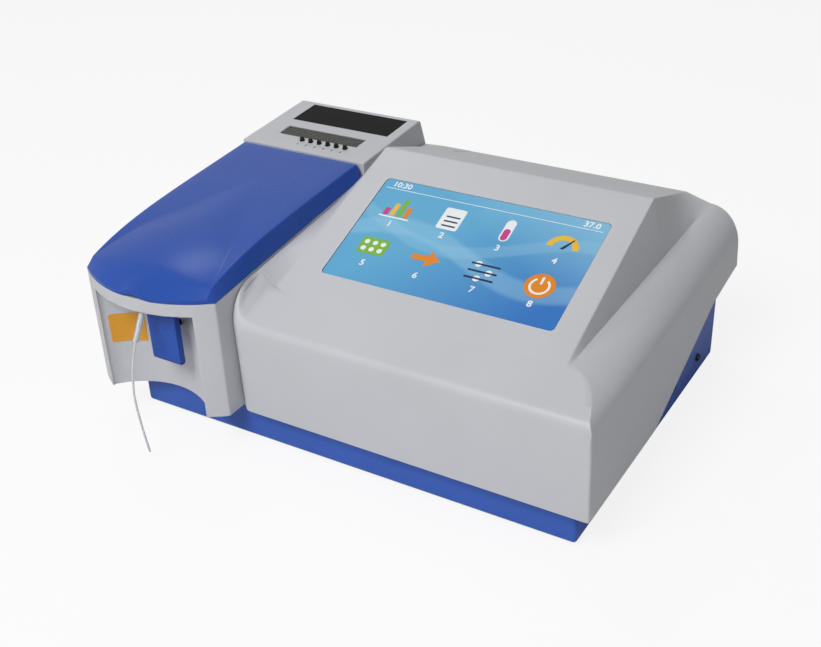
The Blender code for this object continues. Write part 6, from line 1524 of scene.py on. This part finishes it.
class Sheet:
    """Flat signs being drawn: outlines by colour round a middle that can be moved."""

    def __init__(self) -> None:
        """Start with no outline."""
        self.shapes: dict[Ink, list[np.ndarray]] = {ink: [] for ink in Ink}
        self.middle, self.scale = np.zeros(2), 1.0

    def move(self, x: float, y: float, scale: float) -> None:
        """Draw from here on round another middle and at another scale."""
        self.middle, self.scale = np.array([x, y]), scale

    def polygon(self, ink: Ink, *points: tuple[float, float]) -> None:
        """Add an outline through points."""
        self.shapes[ink].append(np.array(points) * self.scale + self.middle)

    def box(self, ink: Ink, x: float, y: float, width: float, height: float, radius: float = 0.4) -> None:
        """Add a rectangle with round corners and its middle at x and y."""
        radius = min(radius, width / 2.01, height / 2.01)
        self.polygon(ink, *(rounded_outline(width, height, radius, 4) + (x, y)).tolist())

    def disc(self, ink: Ink, x: float, y: float, radius: float) -> None:
        """Add a disc."""
        angle = np.linspace(0.0, 2 * math.pi, 40, endpoint=False)
        self.polygon(ink, *(radius * np.column_stack([np.cos(angle), np.sin(angle)]) + (x, y)).tolist())

    def arc(self, ink: Ink, x: float, y: float, inner: float, outer: float, start: float, stop: float) -> None:
        """Add a band between two circles from one angle in degrees to another."""
        angle = np.radians(np.linspace(start, stop, 33))
        ring = np.column_stack([np.cos(angle), np.sin(angle)])
        self.polygon(ink, *(np.vstack([outer * ring, (inner * ring)[::-1]]) + (x, y)).tolist())


@dataclass
class TouchScreen:
    """The glass with its picture and flat coloured signs in two even rows."""

    right: float = 0.16825
    foot: float = -0.07375
    foot_height: float = 0.101
    tilt: float = 20.6
    start: float = 0.0197
    centre: float = 0.12335
    width: float = 0.1541
    length: float = 0.0859
    corner: float = 0.003
    recess: float = 0.0004
    glass: float = 0.0021
    ink: float = 0.00008
    columns: tuple[float, ...] = (-56.0, -19.0, 19.0, 56.0)
    rows: tuple[float, float] = (20.5, -14.0)
    enlarge: float = 1.2
    sunk: float = 0.00002
    number_drop: float = 14.2
    number_height: float = 0.0046
    figure_height: float = 0.0044
    clock: tuple[float, float] = (-0.064, 0.0392)
    warmth: tuple[float, float] = (0.066, 0.0392)

    def face(self) -> Matrix:
        """Place on the panel's face at the middle of the screen."""
        tilt = math.radians(self.tilt)
        run = self.start + self.length / 2
        return slope((self.right - self.centre, self.foot + run * math.cos(tilt),
                      self.foot_height + run * math.sin(tilt)), tilt)

    def place(self, x: float = 0.0, y: float = 0.0) -> Matrix:
        """Place on the glass, from its middle."""
        return self.face() @ Matrix.Translation((x, y, -self.recess))

    def signs(self) -> dict[Ink, list[np.ndarray]]:
        """Outlines of the eight signs by colour, in millimetres from the glass's middle.

        Returns:
            Outlines of each colour, each anticlockwise.
        """
        sheet = Sheet()
        self.charts(sheet)
        self.tools(sheet)
        sheet.move(0.0, 0.0, 1.0)
        sheet.box(Ink.WHITE, 0.0, 35.5, 148.0, 0.4, 0.15)
        return sheet.shapes

    def charts(self, sheet: Sheet) -> None:
        """Upper row: bars, a list, a vial and a dial."""
        sheet.move(self.columns[0], self.rows[0], self.enlarge)
        for k, (ink, h) in enumerate(((Ink.PINK, 5.0), (Ink.YELLOW, 9.0), (Ink.GREEN, 12.5), (Ink.ORANGE, 7.5))):
            sheet.box(ink, -6.0 + 4.0 * k, -6.2 + h / 2, 2.8, h)
        sheet.box(Ink.WHITE, 0.0, -7.2, 18.0, 0.9)
        sheet.move(self.columns[1], self.rows[0], self.enlarge)
        sheet.box(Ink.WHITE, 0.0, 0.0, 12.0, 15.0, 1.2)
        for k in range(4):
            sheet.box(Ink.NAVY if k else Ink.ORANGE, 0.4, 4.6 - 3.2 * k, 8.0, 1.0)
        sheet.move(self.columns[2], self.rows[0], self.enlarge)
        sheet.box(Ink.WHITE, 0.0, 0.5, 5.4, 15.0, 2.6)
        sheet.box(Ink.PINK, 0.0, -2.4, 3.6, 8.0, 1.8)
        sheet.move(self.columns[3], self.rows[0], self.enlarge)
        sheet.arc(Ink.YELLOW, 0.0, -3.0, 5.2, 8.5, 0.0, 180.0)
        sheet.polygon(Ink.NAVY, (-0.9, -3.6), (0.9, -3.6), (4.6, 3.4), (4.0, 3.8))

    def tools(self, sheet: Sheet) -> None:
        """Lower row: a rack, an arrow, three sliders and the round switch."""
        sheet.move(self.columns[0], self.rows[1], self.enlarge)
        sheet.box(Ink.GREEN, 0.0, 0.0, 16.0, 11.0, 1.4)
        for k in range(6):
            sheet.disc(Ink.WHITE, -4.8 + 4.8 * (k % 3), 2.3 - 4.6 * (k // 3), 1.5)
        sheet.move(self.columns[1], self.rows[1], self.enlarge)
        sheet.polygon(Ink.ORANGE, (-8.0, -1.8), (1.0, -1.8), (1.0, -5.5), (8.0, 0.0), (1.0, 5.5), (1.0, 1.8),
                      (-8.0, 1.8))
        sheet.move(self.columns[2], self.rows[1], self.enlarge)
        for k, x in enumerate((-4.0, 3.5, -1.0)):
            sheet.box(Ink.NAVY, 0.0, 4.6 - 4.6 * k, 16.0, 1.1, 0.5)
            sheet.disc(Ink.WHITE, x, 4.6 - 4.6 * k, 1.9)
        sheet.move(self.columns[3], self.rows[1], self.enlarge)
        sheet.disc(Ink.ORANGE, 0.0, 0.0, 7.8)
        sheet.arc(Ink.WHITE, 0.0, -0.2, 4.2, 5.4, 125.0, 415.0)
        sheet.box(Ink.WHITE, 0.0, 3.4, 1.2, 4.8, 0.5)

    def build(self, palette: Palette) -> None:
        """Make the glass, its picture, the signs and the plain numbers under them.

        Args:
            palette: the finishes.
        """
        outline = rounded_outline(self.width, self.length, self.corner, 8)
        sides, caps = slab(outline, -self.glass, 0.0, self.place())
        glass = new_piece("picture_glass", [sides], palette.add("screen_picture", Picture()), "analyzer",
                          caps)
        points = np.empty(len(glass.data.vertices) * 3)
        glass.data.vertices.foreach_get("co", points)
        local = moved(points.reshape(-1, 3), self.place().inverted())
        corners = np.empty(len(glass.data.loops), dtype=int)
        glass.data.loops.foreach_get("vertex_index", corners)
        layer = glass.data.uv_layers.new(name="picture")
        layer.data.foreach_set("uv", (local[corners, :2] / (self.width, self.length) + 0.5).astype(float).ravel())
        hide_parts("touch_glass")
        order = {ink: 2 if ink in (Ink.NAVY, Ink.PINK) else 1 for ink in Ink}
        for ink, outlines in self.signs().items():
            finish = Finish(f"{ink.name.lower()}_ink", tone(*ink.value), 0.40, grain=0.0006, depth=0.000002,
                            drift=0.02, gloss=0.1)
            material = palette.add(finish.name, finish)
            surfaces, caps, count = [], [], 0
            for outline in outlines:
                raised = self.ink * order[ink] if ink is not Ink.WHITE else self.ink * 1.5
                sides, faces = slab(outline / MILLIMETRES, -self.sunk, raised, self.place())
                surfaces.append(sides)
                caps += [[i + count for i in face] for face in faces]
                count += len(sides[0])
            new_piece(f"{ink.name.lower()}_signs", surfaces, material, "analyzer", caps)
        white = palette.get("white_ink")
        for index in range(8):
            x = self.columns[index % 4] / MILLIMETRES
            y = (self.rows[index // 4] - self.number_drop) / MILLIMETRES
            printed(str(index + 1), f"sign_number_{index + 1}", self.number_height, self.ink, self.place(x, y), white)
        for words, name, spot in (("10:30", "clock_figures", self.clock), ("37.0", "figures_right", self.warmth)):
            printed(words, name, self.figure_height, self.ink, self.place(*spot), white)


@dataclass
class Studio:
    """Camera, floor, lamps and the light of the room."""

    location: Three = (0.35557, -0.57379, 0.44602)
    yaw: float = 32.098
    down: float = 30.301
    roll: float = -2.4525
    lens: float = 52.61876
    floor: float = 6.0
    floor_glow: float = 0.86
    ambient: float = 0.20
    aim: Three = (0.0, 0.0, 0.06)
    highlight: Three = (-0.09, -0.10, 0.12)

    def camera(self) -> None:
        """Set up the photograph's camera: turned round, tipped down and rolled a little."""
        data = bpy.data.cameras.new("photo_camera")
        data.lens = self.lens
        data.sensor_width = 36.0
        item = linked("photo_camera", data)
        turn = (Matrix.Rotation(math.radians(self.yaw), 4, "Z")
                @ Matrix.Rotation(math.radians(90.0 - self.down), 4, "X")
                @ Matrix.Rotation(math.radians(self.roll), 4, "Z"))
        item.matrix_world = Matrix.Translation(self.location) @ turn
        bpy.context.scene.camera = item

    def lamp(self, name: str, place: Three, size: float, power: float, target: Three) -> None:
        """A square soft lamp.

        Args:
            name: name of the lamp.
            place: where it hangs.
            size: its side.
            power: its watts.
            target: point that it faces.
        """
        data = bpy.data.lights.new(name, "AREA")
        data.size = size
        data.energy = power
        item = linked(name, data)
        item.location = place
        item.rotation_euler = (Vector(target) - Vector(place)).to_track_quat("-Z", "Y").to_euler()

    def room(self) -> None:
        """Light from all round that shows as white to the camera, in gloss and through glass."""
        world = bpy.data.worlds.new("studio")
        bpy.context.scene.world = world
        world.use_nodes = True
        nodes, links = world.node_tree.nodes, world.node_tree.links
        back = nodes["Background"]
        back.inputs["Color"].default_value = WHITE
        path = nodes.new("ShaderNodeLightPath")
        seen = path.outputs["Is Camera Ray"]
        for kind in ("Is Glossy Ray", "Is Transmission Ray"):
            larger = nodes.new("ShaderNodeMath")
            larger.operation = "MAXIMUM"
            links.new(seen, larger.inputs[0])
            links.new(path.outputs[kind], larger.inputs[1])
            seen = larger.outputs[0]
        level = nodes.new("ShaderNodeMapRange")
        level.inputs["To Min"].default_value = self.ambient
        level.inputs["To Max"].default_value = 1.0
        links.new(seen, level.inputs["Value"])
        links.new(level.outputs["Result"], back.inputs["Strength"])

    def ground(self) -> None:
        """A plain pale floor that keeps the object's shadow."""
        side = self.floor
        grid = np.array([[[-side, -side, 0.0], [side, -side, 0.0]], [[-side, side, 0.0], [side, side, 0.0]]])
        mesh = bpy.data.meshes.new("floor")
        mesh.from_pydata(grid.reshape(-1, 3).tolist(), [], polygons(grid).tolist())
        item = linked("floor", mesh)
        draft = Draft("white_floor")
        draft.fixed(Roughness=0.9, Specular_IOR_Level=0.0)
        draft.shader.inputs["Base Color"].default_value = (0.93, 0.93, 0.93, 1.0)
        glow = draft.add("Emission")
        glow.inputs["Strength"].default_value = 1.0
        blend = draft.add("MixShader")
        path = draft.add("LightPath")
        draft.links.new(draft.math("MULTIPLY", path.outputs["Is Camera Ray"], self.floor_glow), blend.inputs["Fac"])
        draft.links.new(draft.shader.outputs["BSDF"], blend.inputs[1])
        draft.links.new(glow.outputs["Emission"], blend.inputs[2])
        draft.links.new(blend.outputs["Shader"], draft.nodes["Material Output"].inputs["Surface"])
        mesh.materials.append(draft.material)

    def build(self) -> None:
        """Put up the studio."""
        self.camera()
        self.ground()
        self.room()
        self.lamp("key", (-0.1, -1.32, 1.52), 0.8, 24.5, self.aim)
        self.lamp("fill", (1.3, -0.9, 0.9), 1.0, 0.2, self.aim)
        self.lamp("rear", (-0.78, 0.55, 1.41), 0.3, 2.4, self.highlight)
        bpy.context.scene.view_settings.view_transform = "Standard"


def main() -> None:
    """Build each sub-assembly in order and report it."""
    logging.basicConfig(level=logging.INFO, format="%(message)s")
    palette = Palette()
    Studio().build()
    REPORT.info("studio is up")
    for assembly in (SipperTube(), MainHousing(), ModuleHousing(), SampleLid(), BezelFittings(), BaseTray(),
                     PrinterDoor(), Trigger(), TouchScreen(), Carried()):
        assembly.build(palette)
        REPORT.info("%s is built", type(assembly).__name__)


if __name__ == "__main__":
    main()
